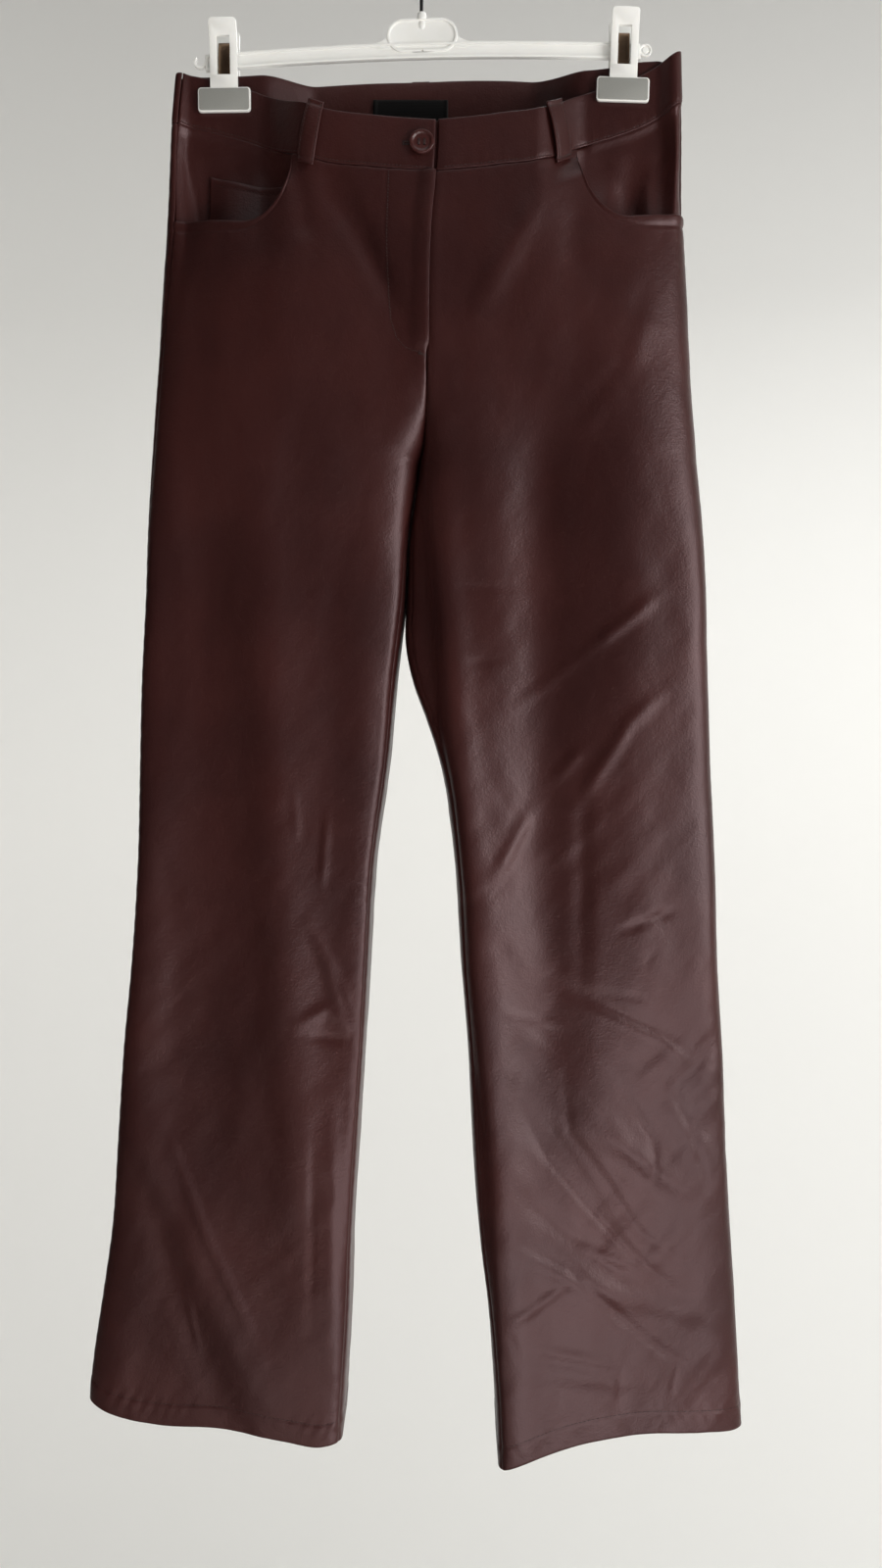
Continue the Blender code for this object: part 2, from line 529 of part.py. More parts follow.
def fly(leather, tape):
    """The zip lies behind the centre seam, and the underlap behind the zip."""
    layers = (
        ("fly_zip", ZIP_SHARES, ZIP_END_Z, CLOTH + 2 * LAYER, tape),
        ("fly_underlap", FLY_SHARES, FLY_END_Z, 2 * (CLOTH + 2 * LAYER), leather),
    )
    down = np.linspace(0, 1, 7)[:, None]
    for name, (right_shares, left_shares), end_z, depth, finish in layers:
        stretches = []
        for side, shares in ((RIGHT, right_shares), (LEFT, left_shares)):
            shares = np.array(shares)
            top = waist_seam_z(side, "front", shares) - SEAM_GAP
            stretches.append((side, "front", shares, top + (end_z - top) * down, -depth, 1.0))
        patch(name, stretches, CLOTH, finish)


def belt_loops(finish):
    """Strips that are sewn down at both ends and bow out over the waistband."""
    for number, row in enumerate(BELT_LOOPS, 1):
        loop = dict(zip(LOOP_COLUMNS, row))
        down = np.linspace(0, 1, LOOP_ROWS)[:, None]
        out = BAND_PROUD + 2 * LAYER + LOOP_CLOTH + LOOP_BOW * np.sin(math.pi * down) ** 0.6
        stretches = []
        for side, edges in ((RIGHT, loop["right"]), (LEFT, loop["left"])):
            if not edges:
                continue
            edges = np.array(edges)
            share = edges + loop["slant"] * down
            top = waist_z(side, loop["face"], share) + loop["above"]
            z = top - (WAISTBAND_HEIGHT + loop["above"] + LOOP_BELOW) * down
            pull = front_pull(side, share, z) if loop["face"] == "front" else 1.0
            stretches.append((side, loop["face"], share, z, out, pull))
        patch(f"belt_loop_{number}", stretches, LOOP_CLOTH, finish)


def label(finish):
    inside = BAND_PROUD - BAND_CLOTH - LAYER
    z = np.array([[LABEL_TOP_Z], [LABEL_TOP_Z - LABEL_HEIGHT]])
    stretches = [
        (side, "back", np.array(shares), np.repeat(z, len(shares), axis=1), inside, 1.0)
        for side, shares in ((RIGHT, LABEL_SHARES[RIGHT]), (LEFT, LABEL_SHARES[LEFT]))
    ]
    patch("label", stretches, LABEL_CLOTH, finish)


def button(finish):
    """A turned button with a raised rim, lying on the right front waistband over its buttonhole."""
    bm = bmesh.new()
    corners = [bm.verts.new((radius, 0, height)) for radius, height in BUTTON_PROFILE]
    edges = [bm.edges.new(pair) for pair in zip(corners, corners[1:])]
    bmesh.ops.spin(
        bm, geom=corners + edges, cent=(0, 0, 0), axis=(0, 0, 1), angle=2 * math.pi, steps=BUTTON_STEPS
    )
    bmesh.ops.remove_doubles(bm, verts=bm.verts, dist=1e-6)
    ground = cloth_points(RIGHT, "front", BUTTON_SHARE, BUTTON_Z, BAND_PROUD + 2 * LAYER)
    bm.transform(Matrix.Translation(Vector(ground)) @ Matrix.Rotation(math.pi / 2, 4, "X"))
    made = new_object("button", bm, finish)
    slot = box("buttonhole", Vector(ground) + Vector(BUTTONHOLE_SHIFT), BUTTONHOLE, finish)
    combine(bpy.data.objects["waistband_front_right"], slot, "DIFFERENCE")
    return made


# ---- hanger --------------------------------------------------------------------------------------------
def hanger_bar(finish):
    """One moulding: an I-section bar, an oval plate sunk on both faces, a socket and round ends."""
    half, web, flange = BAR_DEPTH / 2, BAR_WEB / 2, BAR_FLANGE
    top = BAR_HEIGHT / 2
    section = [
        (-half, top), (half, top), (half, top - flange), (web, top - flange),
        (web, flange - top), (half, flange - top), (half, -top), (-half, -top),
        (-half, flange - top), (-web, flange - top), (-web, top - flange), (-half, top - flange),
    ]
    bm = bmesh.new()
    rings = []
    for x in np.linspace(-BAR_HALF, BAR_HALF, BAR_STATIONS):
        rings.append([bm.verts.new((x, y, bar_height(x) + z)) for y, z in section])
    for ring, following in zip(rings, rings[1:]):
        for i in range(len(section)):
            j = (i + 1) % len(section)
            bm.faces.new((ring[i], ring[j], following[j], following[i]))
    bm.faces.new(rings[0])
    bm.faces.new(rings[-1])
    bar = new_object("hanger_bar", bm, finish, smooth=False)
    plate = oval("plate", PLATE_WIDTH, PLATE_HEIGHT, BAR_DEPTH, 0, finish)
    sunk_width, sunk_height = PLATE_WIDTH - 2 * PLATE_RIM, PLATE_HEIGHT - 2 * PLATE_RIM
    for face_y in (-1, 1):
        sunk = oval("sunk", sunk_width, sunk_height, BAR_DEPTH, 0, finish)
        sunk.location.y = face_y * (BAR_DEPTH / 2 + BAR_WEB / 2)
        bpy.context.view_layer.update()
        combine(plate, sunk, "DIFFERENCE")
    combine(bar, plate, "UNION")
    bm = bmesh.new()
    wide, narrow = SOCKET_RADIUS * 1.25, SOCKET_RADIUS
    bmesh.ops.create_cone(
        bm, cap_ends=True, segments=12, radius1=wide, radius2=narrow, depth=SOCKET_LENGTH
    )
    bm.transform(Matrix.Translation((0, 0, -SOCKET_LENGTH / 2)))
    combine(bar, new_object("socket", bm, finish), "UNION")
    for end in (-1, 1):
        bm = bmesh.new()
        radius, depth = BAR_END_RADIUS, BAR_DEPTH * 0.9
        bmesh.ops.create_cone(
            bm, cap_ends=True, segments=14, radius1=radius, radius2=radius, depth=depth
        )
        place = Matrix.Translation((end * BAR_HALF, 0, bar_height(BAR_HALF)))
        bm.transform(place @ Matrix.Rotation(math.pi / 2, 4, "X"))
        combine(bar, new_object("end", bm, finish), "UNION")
    bar.data.transform(on_hanger())
    return bar


def oval(name, width, height, depth, y, finish):
    """A plate with round ends, standing in the XZ plane round the plate's middle."""
    radius, straight = height / 2, width / 2 - height / 2
    outline = []
    for side in (1, -1):
        for i in range(OVAL_STEPS + 1):
            angle = side * math.pi / 2 - math.pi * i / OVAL_STEPS
            outline.append((side * straight + radius * math.cos(angle), PLATE_Z + radius * math.sin(angle)))
    return prism(name, outline, y - depth / 2, y + depth / 2, 1, finish)


def hook(finish):
    """The wire goes up from the socket, swings out and bends over the origin to a free end."""
    centre = Vector((0, 0, -HOOK_RADIUS + WIRE / 2))
    route = [Vector((0, 0, SOCKET_Z + SEAM_GAP)), Vector((0, 0, SOCKET_Z + 0.010))]
    route.append(Vector((0.001, 0, -0.0540)))
    for degrees in np.linspace(HOOK_START, HOOK_END, 11):
        angle = math.radians(degrees)
        route.append(centre + HOOK_RADIUS * Vector((math.cos(angle), 0, math.sin(angle))))
    points = []
    for i in range(len(route) - 1):
        before, start = route[max(i - 1, 0)], route[i]
        end, after = route[i + 1], route[min(i + 2, len(route) - 1)]
        for t in (0, 1 / 2):
            rise, fall = (end - before) / 2, (after - start) / 2
            bend = (2 * start - 2 * end + rise + fall) * t + (3 * end - 3 * start - 2 * rise - fall)
            points.append((bend * t + rise) * t + start)
    points.append(route[-1])
    curve = bpy.data.curves.new("hook", "CURVE")
    curve.dimensions = "3D"
    curve.bevel_depth = WIRE / 2
    curve.bevel_resolution = 2
    curve.use_fill_caps = True
    spline = curve.splines.new("POLY")
    spline.points.add(len(points) - 1)
    for slot, point in zip(spline.points, points):
        slot.co = (*point, 1)
    curve.materials.append(finish)
    made = bpy.data.objects.new("hook", curve)
    bpy.context.scene.collection.objects.link(made)


def clip(side, plastic, rubber, spring_steel):
    """Two levers that a leaf spring over the bar closes on the waist. Each foot carries a rubber pad."""
    name = SIDE_NAMES[side]
    place = clip_place(side)
    for face, facing in (("front", -1), ("back", 1)):
        outline = [(facing * y, z) for y, z in JAW_PROFILE]
        jaw = prism(f"clip_{name}_jaw_{face}", outline, -JAW_WIDTH / 2, JAW_WIDTH / 2, 0, plastic)
        foot_y = facing * (FOOT_INNER + FOOT_THICK / 2)
        foot = box("foot", (0, foot_y, FOOT_Z), (FOOT_WIDTH, FOOT_THICK, FOOT_HEIGHT), plastic)
        combine(jaw, foot, "UNION")
        window = box("window", (0, facing * 0.010, WINDOW_Z), (WINDOW_WIDTH, 0.030, WINDOW_HEIGHT), plastic)
        combine(jaw, window, "DIFFERENCE")
        jaw.data.transform(place)
        pad_y = facing * (FOOT_INNER + FOOT_THICK + SEAM_GAP + PAD_THICK / 2)
        size = (FOOT_WIDTH - 2 * PAD_RIM, PAD_THICK, FOOT_HEIGHT - 2 * PAD_RIM)
        pad = box(f"clip_{name}_pad_{face}", (0, pad_y, FOOT_Z), size, rubber)
        pad.data.transform(place)
    outline = []
    for radius, turn in ((SPRING_GAP + SPRING_THICK, 1), (SPRING_GAP, -1)):
        arc = [(radius * math.cos(a), SPRING_TOP + radius * math.sin(a)) for a in np.linspace(0, math.pi, 7)]
        outline += [(radius, SPRING_END), *arc, (-radius, SPRING_END)][::turn]
    spring = prism(f"clip_{name}_spring", outline, -SPRING_WIDTH / 2, SPRING_WIDTH / 2, 0, spring_steel)
    spring.data.transform(place)


def main():
    clear_scene()
    leather = material("faux_leather", (0.045, 0.018, 0.017), 0.45)
    tape = material("zip_tape", (0.030, 0.012, 0.012), 0.80)
    button_plastic = material("button_plastic", (0.050, 0.018, 0.018), 0.35)
    woven_label = material("label_satin", (0.008, 0.008, 0.009), 0.60)
    for side in (RIGHT, LEFT):
        leg_panel(side, "front", FRONT_SHARES, leather)
        leg_panel(side, "back", BACK_SHARES, leather)
    waistbands(leather)
    pocket_bearer(RIGHT, COIN_CLOTH + LAYER, leather)
    pocket_bearer(LEFT, 0.0, leather)
    coin_pocket(leather)
    fly(leather, tape)
    belt_loops(leather)
    label(woven_label)
    button(button_plastic)

    plastic = material("white_plastic", (0.80, 0.80, 0.78), 0.35)
    rubber = material("grey_rubber", (0.30, 0.30, 0.30), 0.70)
    wire = material("hook_wire", (0.25, 0.25, 0.26), 0.35, 1.0)
    spring_steel = material("spring_steel", (0.45, 0.32, 0.20), 0.40, 1.0)
    hanger_bar(plastic)
    hook(wire)
    for side in (RIGHT, LEFT):
        clip(side, plastic, rubber, spring_steel)


main()
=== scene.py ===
import math

import bpy
import numpy as np
from mathutils import Matrix, Vector


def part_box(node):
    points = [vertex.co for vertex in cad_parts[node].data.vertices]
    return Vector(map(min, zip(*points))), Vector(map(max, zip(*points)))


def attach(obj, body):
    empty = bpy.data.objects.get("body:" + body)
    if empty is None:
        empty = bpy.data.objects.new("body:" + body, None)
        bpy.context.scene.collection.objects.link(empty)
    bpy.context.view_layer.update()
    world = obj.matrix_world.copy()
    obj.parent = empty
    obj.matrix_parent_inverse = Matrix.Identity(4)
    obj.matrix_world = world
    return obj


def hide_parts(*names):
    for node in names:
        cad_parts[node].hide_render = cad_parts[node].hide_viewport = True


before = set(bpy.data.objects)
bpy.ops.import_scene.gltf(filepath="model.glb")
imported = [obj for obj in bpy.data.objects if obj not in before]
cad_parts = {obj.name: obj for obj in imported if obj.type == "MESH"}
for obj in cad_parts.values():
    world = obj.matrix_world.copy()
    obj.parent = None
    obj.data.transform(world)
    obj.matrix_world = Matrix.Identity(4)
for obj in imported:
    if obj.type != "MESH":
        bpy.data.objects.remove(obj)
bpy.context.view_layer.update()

# Faux leather trousers on a white clip hanger, in metres, +Z up, the front facing -Y. Right and left are the
# wearer's: right is at -X. A point of the cloth is named by its side, its face, its share of the way round
# from the inner seam to the side seam, and its height z.

# ---- Camera ---------------------------------------------------------------------------------------------
# A level camera in front of the knees. It takes in the trousers and the hanger's bar, and crops the hook.
EYE = Vector((0.015, -1.1, -0.67))
VIEW_HEIGHT = 1.216  # that the camera takes in at the hanger's plane
camera_data = bpy.data.cameras.new("camera")
camera_data.lens = camera_data.sensor_width * -EYE.y / VIEW_HEIGHT
camera_data.clip_end = 30
camera = bpy.data.objects.new("camera", camera_data)
camera.location = EYE
camera.rotation_euler = (math.pi / 2, 0, 0)
bpy.context.scene.collection.objects.link(camera)
bpy.context.scene.camera = camera


# ---- Studio ---------------------------------------------------------------------------------------------
# A pale floor that turns up into a round wall, far enough off to let a camera stand anywhere inside it.
# A dark screen round the front and on the floor there is seen only in reflections, so that a pale room
# doesn't grey the leather.
def linear(code):
    """An sRGB hex colour, as linear red, green, blue and alpha."""
    parts = [int(code[i : i + 2], 16) / 255 for i in (1, 3, 5)]
    return (*(v / 12.92 if v <= 0.04045 else ((v + 0.055) / 1.055) ** 2.4 for v in parts), 1.0)


def fill_inputs(node, inputs):
    """Each input is a value, or the output of another node that it is linked from."""
    for socket, value in inputs.items():
        if isinstance(value, bpy.types.NodeSocket):
            node.id_data.links.new(value, node.inputs[socket])
        else:
            node.inputs[socket].default_value = value


def shade(material, inputs):
    """Fills inputs of a material's Principled shader."""
    fill_inputs(material.node_tree.nodes["Principled BSDF"], inputs)


def new_material(name, colour, roughness, **sockets):
    """A material whose shader has these uniform values. Underscores stand for spaces."""
    made = bpy.data.materials.new(name)
    made.use_nodes = True
    made.diffuse_color = linear(colour)
    shade(made, {"Base Color": linear(colour), "Roughness": roughness})
    shade(made, {socket.replace("_", " "): value for socket, value in sockets.items()})
    return made


def add_node(material, kind, inputs, output=0, **settings):
    """Adds a shader node with its settings and links. It returns one of the node's outputs."""
    made = material.node_tree.nodes.new("ShaderNode" + kind)
    for name, value in settings.items():
        setattr(made, name, value)
    fill_inputs(made, inputs)
    return made.outputs[output]


def new_mesh(name, points, faces, materials):
    """Links a smooth mesh as an object at the origin."""
    mesh = bpy.data.meshes.new(name)
    mesh.from_pydata([tuple(p) for p in points], [], [tuple(f) for f in faces])
    for material in materials:
        mesh.materials.append(material)
    mesh.shade_smooth()
    made = bpy.data.objects.new(name, mesh)
    bpy.context.scene.collection.objects.link(made)
    return made


FLOOR_Z = -2.35
WALL_RADIUS, COVE_RADIUS, WALL_TOP = 3.6, 1.6, 4.6
profile = [(0.02, FLOOR_Z), (1.0, FLOOR_Z), (WALL_RADIUS - COVE_RADIUS, FLOOR_Z)]
for step in range(1, 13):
    turn = math.pi / 2 * step / 12
    across = WALL_RADIUS - COVE_RADIUS * (1 - math.sin(turn))
    profile.append((across, FLOOR_Z + COVE_RADIUS * (1 - math.cos(turn))))
profile.append((WALL_RADIUS, FLOOR_Z + WALL_TOP))
ROUND = 96
bowl_points = []
for radius, height in profile:
    for step in range(ROUND):
        turn = 2 * math.pi * step / ROUND
        bowl_points.append((radius * math.cos(turn), radius * math.sin(turn), height))
bowl_faces = [
    (row + ROUND + i, row + ROUND + (i + 1) % ROUND, row + (i + 1) % ROUND, row + i)
    for row in range(0, (len(profile) - 1) * ROUND, ROUND)
    for i in range(ROUND)
]
bowl_faces.append(tuple(range(ROUND)))
backdrop = new_material("backdrop_paper", "#f4f4f1", 0.9)
new_mesh("backdrop", bowl_points, bowl_faces, [backdrop])
SCREEN_RADIUS, SCREEN_TOP, SCREEN_TURNS = 2.6, 3.0, (-1.22, -0.16)  # turns from +X, as shares of half a round
SCREEN_ROWS = ((0.25, FLOOR_Z + 0.02), (SCREEN_RADIUS, FLOOR_Z + 0.02), (SCREEN_RADIUS, SCREEN_TOP))
SCREEN_STEPS = 30
screen_points = []
for radius, height in SCREEN_ROWS:
    for turn in np.linspace(math.pi * SCREEN_TURNS[0], math.pi * SCREEN_TURNS[1], SCREEN_STEPS + 1):
        screen_points.append((radius * math.cos(turn), radius * math.sin(turn), height))
screen_faces = [
    (row + i, row + i + 1, row + i + SCREEN_STEPS + 2, row + i + SCREEN_STEPS + 1)
    for row in (0, SCREEN_STEPS + 1)
    for i in range(SCREEN_STEPS)
]
screen = new_mesh("dark_screen", screen_points, screen_faces, [new_material("black_felt", "#2c211f", 0.95)])
screen.visible_camera = screen.visible_diffuse = screen.visible_shadow = False

# A broad window to the right of the camera, its light off the floor below it and off the floor to the left,
# weak light from above, and lamps on the wall and the floor behind.
LAMP_COLUMNS = ("name", "place", "aim", "size", "watts", "colour")
LAMPS = (
    ("window", (1.7, -1.1, -0.45), (0.05, 0, -0.7), (0.9, 1.5), 29, "#fffdfc"),
    ("window_on_floor", (0.95, -1.75, -1.7), (0.1, 0, -1), (1.3, 0.8), 17, "#fffafa"),
    ("bright_floor", (-0.4, -1.6, -1.9), (-0.15, 0, -1.15), (1.3, 0.6), 5, "#ffeee8"),
    ("skylight", (0.2, -0.6, 1.6), (0, 0.2, -0.5), (1.6, 1.2), 5, "#ffffff"),
    ("wall_lamp_left", (-1.2, 0.9, 0.5), (-0.8, 3.4, 0.9), (1.4, 1.4), 2.6, "#ffffff"),
    ("wall_lamp_right", (2.1, 0.9, -0.7), (2, 3.4, -0.8), (1.2, 1.4), 17, "#ffffff"),
    ("high_wall_lamp", (1.4, 0.9, 0.7), (1.2, 3.4, 1), (1.4, 1.4), 15, "#ffffff"),
    ("floor_lamp", (0.5, 1.4, 0.9), (0.6, 1.4, FLOOR_Z), (1.6, 0.8), 18, "#ffffff"),
)
for row in LAMPS:
    lamp = dict(zip(LAMP_COLUMNS, row))
    light = bpy.data.lights.new(lamp["name"], "AREA")
    light.shape = "RECTANGLE"
    light.size, light.size_y = lamp["size"]
    light.energy = lamp["watts"]
    light.color = linear(lamp["colour"])[:3]
    stand = bpy.data.objects.new(lamp["name"], light)
    stand.location = lamp["place"]
    stand.rotation_euler = (Vector(lamp["aim"]) - Vector(lamp["place"])).to_track_quat("-Z", "Y").to_euler()
    stand.visible_camera = False
    bpy.context.scene.collection.objects.link(stand)
sky = bpy.data.worlds.new("sky")
sky.use_nodes = True
sky.node_tree.nodes["Background"].inputs["Color"].default_value = linear("#e4e0df")
sky.node_tree.nodes["Background"].inputs["Strength"].default_value = 0.12
bpy.context.scene.world = sky
bpy.context.scene.view_settings.view_transform = "Standard"

# ---- Leg panels -----------------------------------------------------------------------------------------
# Two front and two back panels of faux leather: a polyurethane skin pressed with a fine grain on a knitted
# back. They are sewn at the inseams, the side seams and the centre, and turned up at the hems.
RIGHT, LEFT = -1, 1
SIDE_NAMES = {RIGHT: "right", LEFT: "left"}
CLOTH = 0.0012
SEAM_GAP = 0.0003
WAISTBAND_HEIGHT = 0.04
CROTCH_Z = -0.425
# Exponent of the level sections, by height: 2 is an ellipse, more is squarer. The legs hang nearly flat.
ROUNDNESS_AT = (-1.17, -0.75, -0.55, -0.425, -0.25, -0.165)
ROUNDNESS = (8.0, 8.0, 7.0, 4.6, 3.0, 2.7)

# Heights of the upper and the lower edges, by the share of the way round from the inner to the side seam.
EDGE_COLUMNS = ("share", "front_right", "back_right", "front_left", "back_left")
WAIST_ROWS = (
    (0, -0.169, -0.1125, -0.169, -0.1125),
    (0.23, -0.1655, -0.114, -0.164, -0.1112),
    (0.43, -0.1592, -0.117, -0.1555, -0.113),
    (0.54, -0.1505, -0.119, -0.1395, -0.116),
    (0.7, -0.1345, -0.121, -0.1285, -0.114),
    (0.8, -0.129, -0.1215, -0.121, -0.1098),
    (0.88, -0.1248, -0.121, -0.1125, -0.1085),
    (1, -0.1205, -0.1205, -0.102, -0.102),
)
HEM_ROWS = (
    (0, -1.1605, -1.1605, -1.1715, -1.1715),
    (0.07, -1.163, -1.158, -1.1668, -1.168),
    (0.2, -1.1605, -1.156, -1.16, -1.162),
    (0.45, -1.1555, -1.155, -1.1557, -1.159),
    (0.7, -1.1572, -1.153, -1.1618, -1.158),
    (0.87, -1.153, -1.149, -1.1637, -1.157),
    (1, -1.145, -1.145, -1.1575, -1.1575),
)
# The centre seams, and how far each has dropped back into the crotch.
CENTRE_COLUMNS = ("z", "front_x", "back_x", "front_drop", "back_drop")
CENTRE_ROWS = (
    (-0.1, 0.0105, -0.001, 0, 0),
    (-0.194, 0.0105, -0.001, 0, 0),
    (-0.256, 0.0055, -0.0005, 0, 0),
    (-0.332, 0.004, 0, 0, 0.06),
    (-0.37, 0.0042, 0, 0.1, 0.22),
    (-0.4, 0.003, -0.0005, 0.4, 0.52),
    (-0.415, 0.001, -0.001, 0.72, 0.78),
    (-0.425, -0.002, -0.002, 1, 1),
)
# Level sections of each side: the inner and outer extremes, how far the cloth stands to the front and back of
# the line between them, where its crest lies, and how far round to the front the seams have turned (radians).
SECTION_COLUMNS = (
    "z", "inner_x", "inner_y", "outer_x", "outer_y", "front", "back", "crest", "inner_turn", "outer_turn"
)
RIGHT_ROWS = (
    (-0.1, 0, 0, -0.1883, 0, 0.027, 0.027, 0.1, 0, 0.3),
    (-0.16, 0, 0, -0.1933, 0, 0.031, 0.032, 0.1, 0, 0.3),
    (-0.233, 0, 0, -0.1963, 0.002, 0.037, 0.046, 0.12, 0, 0.34),
    (-0.29, 0, 0, -0.1997, 0.004, 0.041, 0.054, 0.16, 0, 0.34),
    (-0.366, 0, 0.006, -0.2037, 0.006, 0.046, 0.054, 0.28, 0, 0.34),
    (-0.425, -0.002, 0.012, -0.2067, 0.008, 0.05, 0.05, 0.42, 0, 0.34),
    (-0.476, -0.0095, 0.012, -0.209, 0.008, 0.049, 0.047, 0.5, 0.25, 0.3),
    (-0.533, -0.013, 0.01, -0.2108, 0.009, 0.048, 0.046, 0.5, 0.35, 0.28),
    (-0.587, -0.019, 0.008, -0.2134, 0.01, 0.047, 0.045, 0.5, 0.4, 0.28),
    (-0.655, -0.025, 0.006, -0.215, 0.011, 0.046, 0.044, 0.5, 0.4, 0.28),
    (-0.729, -0.035, 0.003, -0.217, 0.013, 0.045, 0.043, 0.5, 0.4, 0.28),
    (-0.812, -0.04, 0, -0.223, 0.016, 0.043, 0.043, 0.5, 0.4, 0.26),
    (-0.866, -0.043, -0.002, -0.2288, 0.019, 0.042, 0.043, 0.5, 0.4, 0.26),
    (-0.944, -0.048, -0.005, -0.2344, 0.022, 0.041, 0.043, 0.5, 0.4, 0.24),
    (-1.015, -0.052, -0.007, -0.24, 0.025, 0.04, 0.043, 0.5, 0.4, 0.24),
    (-1.061, -0.0535, -0.008, -0.2468, 0.027, 0.04, 0.043, 0.5, 0.4, 0.24),
    (-1.122, -0.057, -0.009, -0.2562, 0.03, 0.04, 0.043, 0.5, 0.4, 0.24),
    (-1.17, -0.06, -0.01, -0.2602, 0.032, 0.04, 0.043, 0.5, 0.4, 0.24),
)
LEFT_ROWS = (
    (-0.1, 0, 0, 0.2006, 0, 0.027, 0.027, 0.1, 0, 0),
    (-0.16, 0, 0, 0.2016, 0, 0.031, 0.032, 0.1, 0, 0),
    (-0.233, 0, 0, 0.202, 0.002, 0.037, 0.046, 0.12, 0, 0),
    (-0.29, 0, 0, 0.205, 0.004, 0.041, 0.054, 0.16, 0, 0),
    (-0.366, 0, 0.006, 0.2076, 0.006, 0.046, 0.054, 0.28, 0, 0),
    (-0.425, -0.002, 0.012, 0.2112, 0.008, 0.05, 0.05, 0.42, 0, 0),
    (-0.476, -0.009, 0.014, 0.215, 0.008, 0.05, 0.048, 0.5, 0.3, 0),
    (-0.533, -0.0118, 0.014, 0.2171, 0.009, 0.05, 0.048, 0.5, 0.5, 0),
    (-0.56, -0.0122, 0.01, 0.2178, 0.0095, 0.0495, 0.0475, 0.5, 0.52, 0),
    (-0.587, -0.0076, 0.006, 0.2186, 0.01, 0.049, 0.047, 0.5, 0.55, 0),
    (-0.62, 0.0035, 0.002, 0.2197, 0.0105, 0.0485, 0.0465, 0.5, 0.55, 0),
    (-0.655, 0.0142, -0.002, 0.2208, 0.011, 0.048, 0.046, 0.5, 0.55, 0),
    (-0.729, 0.0255, -0.008, 0.2242, 0.012, 0.046, 0.045, 0.5, 0.5, 0),
    (-0.812, 0.0305, -0.013, 0.2271, 0.014, 0.045, 0.045, 0.5, 0.5, 0),
    (-0.866, 0.035, -0.015, 0.2306, 0.016, 0.044, 0.045, 0.5, 0.5, 0),
    (-0.944, 0.0395, -0.018, 0.2341, 0.019, 0.043, 0.045, 0.5, 0.5, 0),
    (-1.015, 0.0445, -0.021, 0.2385, 0.022, 0.043, 0.045, 0.5, 0.45, 0),
    (-1.061, 0.05, -0.023, 0.2421, 0.024, 0.043, 0.045, 0.5, 0.45, 0),
    (-1.122, 0.055, -0.026, 0.2453, 0.027, 0.043, 0.045, 0.5, 0.45, 0),
    (-1.17, 0.057, -0.028, 0.2477, 0.028, 0.043, 0.045, 0.5, 0.45, 0),
)

# The clips press the waist flat, and the cloth below each one hangs in a valley.
VALLEY_FLAT = 0.026  # half the width that the clip's foot presses flat
VALLEY_INNER, VALLEY_OUTER = 0.07, 0.044  # where the valley has faded, towards the centre and the side
VALLEY_TOP, VALLEY_END = -0.17, -0.31
PRESSED_Y = 0.0022  # outer face of each pressed layer
FRONT_PULL = 0.35  # share of the valley that the front panels follow below the pocket mouths
FRONT_PULL_BELOW = 0.03  # they follow it wholly at the waist seam, and that much below it no more than this

# Pocket mouths: from the waist seam down a quarter round to an edge that goes out to the side seam.
MOUTHS = {
    RIGHT: {"start": 0.54, "round": 0.705, "edge_z": -0.2437, "side_z": -0.2385},
    LEFT: {"start": 0.533, "round": 0.715, "edge_z": -0.239, "side_z": -0.2315},
}

# The largest folds, by face: a line from (x0, z0) to (x1, z1), its half width, and how far it stands out
# (minus: sinks in).
FOLD_COLUMNS = ("x0", "z0", "x1", "z1", "width", "height")
FOLDS = {
    "front": (
        (-0.176, -0.54, -0.168, -0.93, 0.038, -0.0065),
        (-0.185, -0.33, -0.176, -0.54, 0.036, -0.0045),
        (0.09, -0.44, 0.094, -0.85, 0.028, -0.007),
        (0.09, -0.94, 0.19, -1.08, 0.03, -0.0025),
        (-0.2, -0.96, -0.13, -1.11, 0.022, 0.004),
        (-0.072, -0.215, -0.03, -0.31, 0.022, -0.0035),
    ),
    "back": (
        (-0.13, -0.48, -0.135, -0.9, 0.028, -0.006),
        (0.125, -0.46, 0.13, -0.86, 0.028, -0.006),
        (-0.16, -0.94, -0.09, -1.08, 0.024, 0.0045),
        (0.17, -0.93, 0.11, -1.09, 0.024, 0.0045),
    ),
}

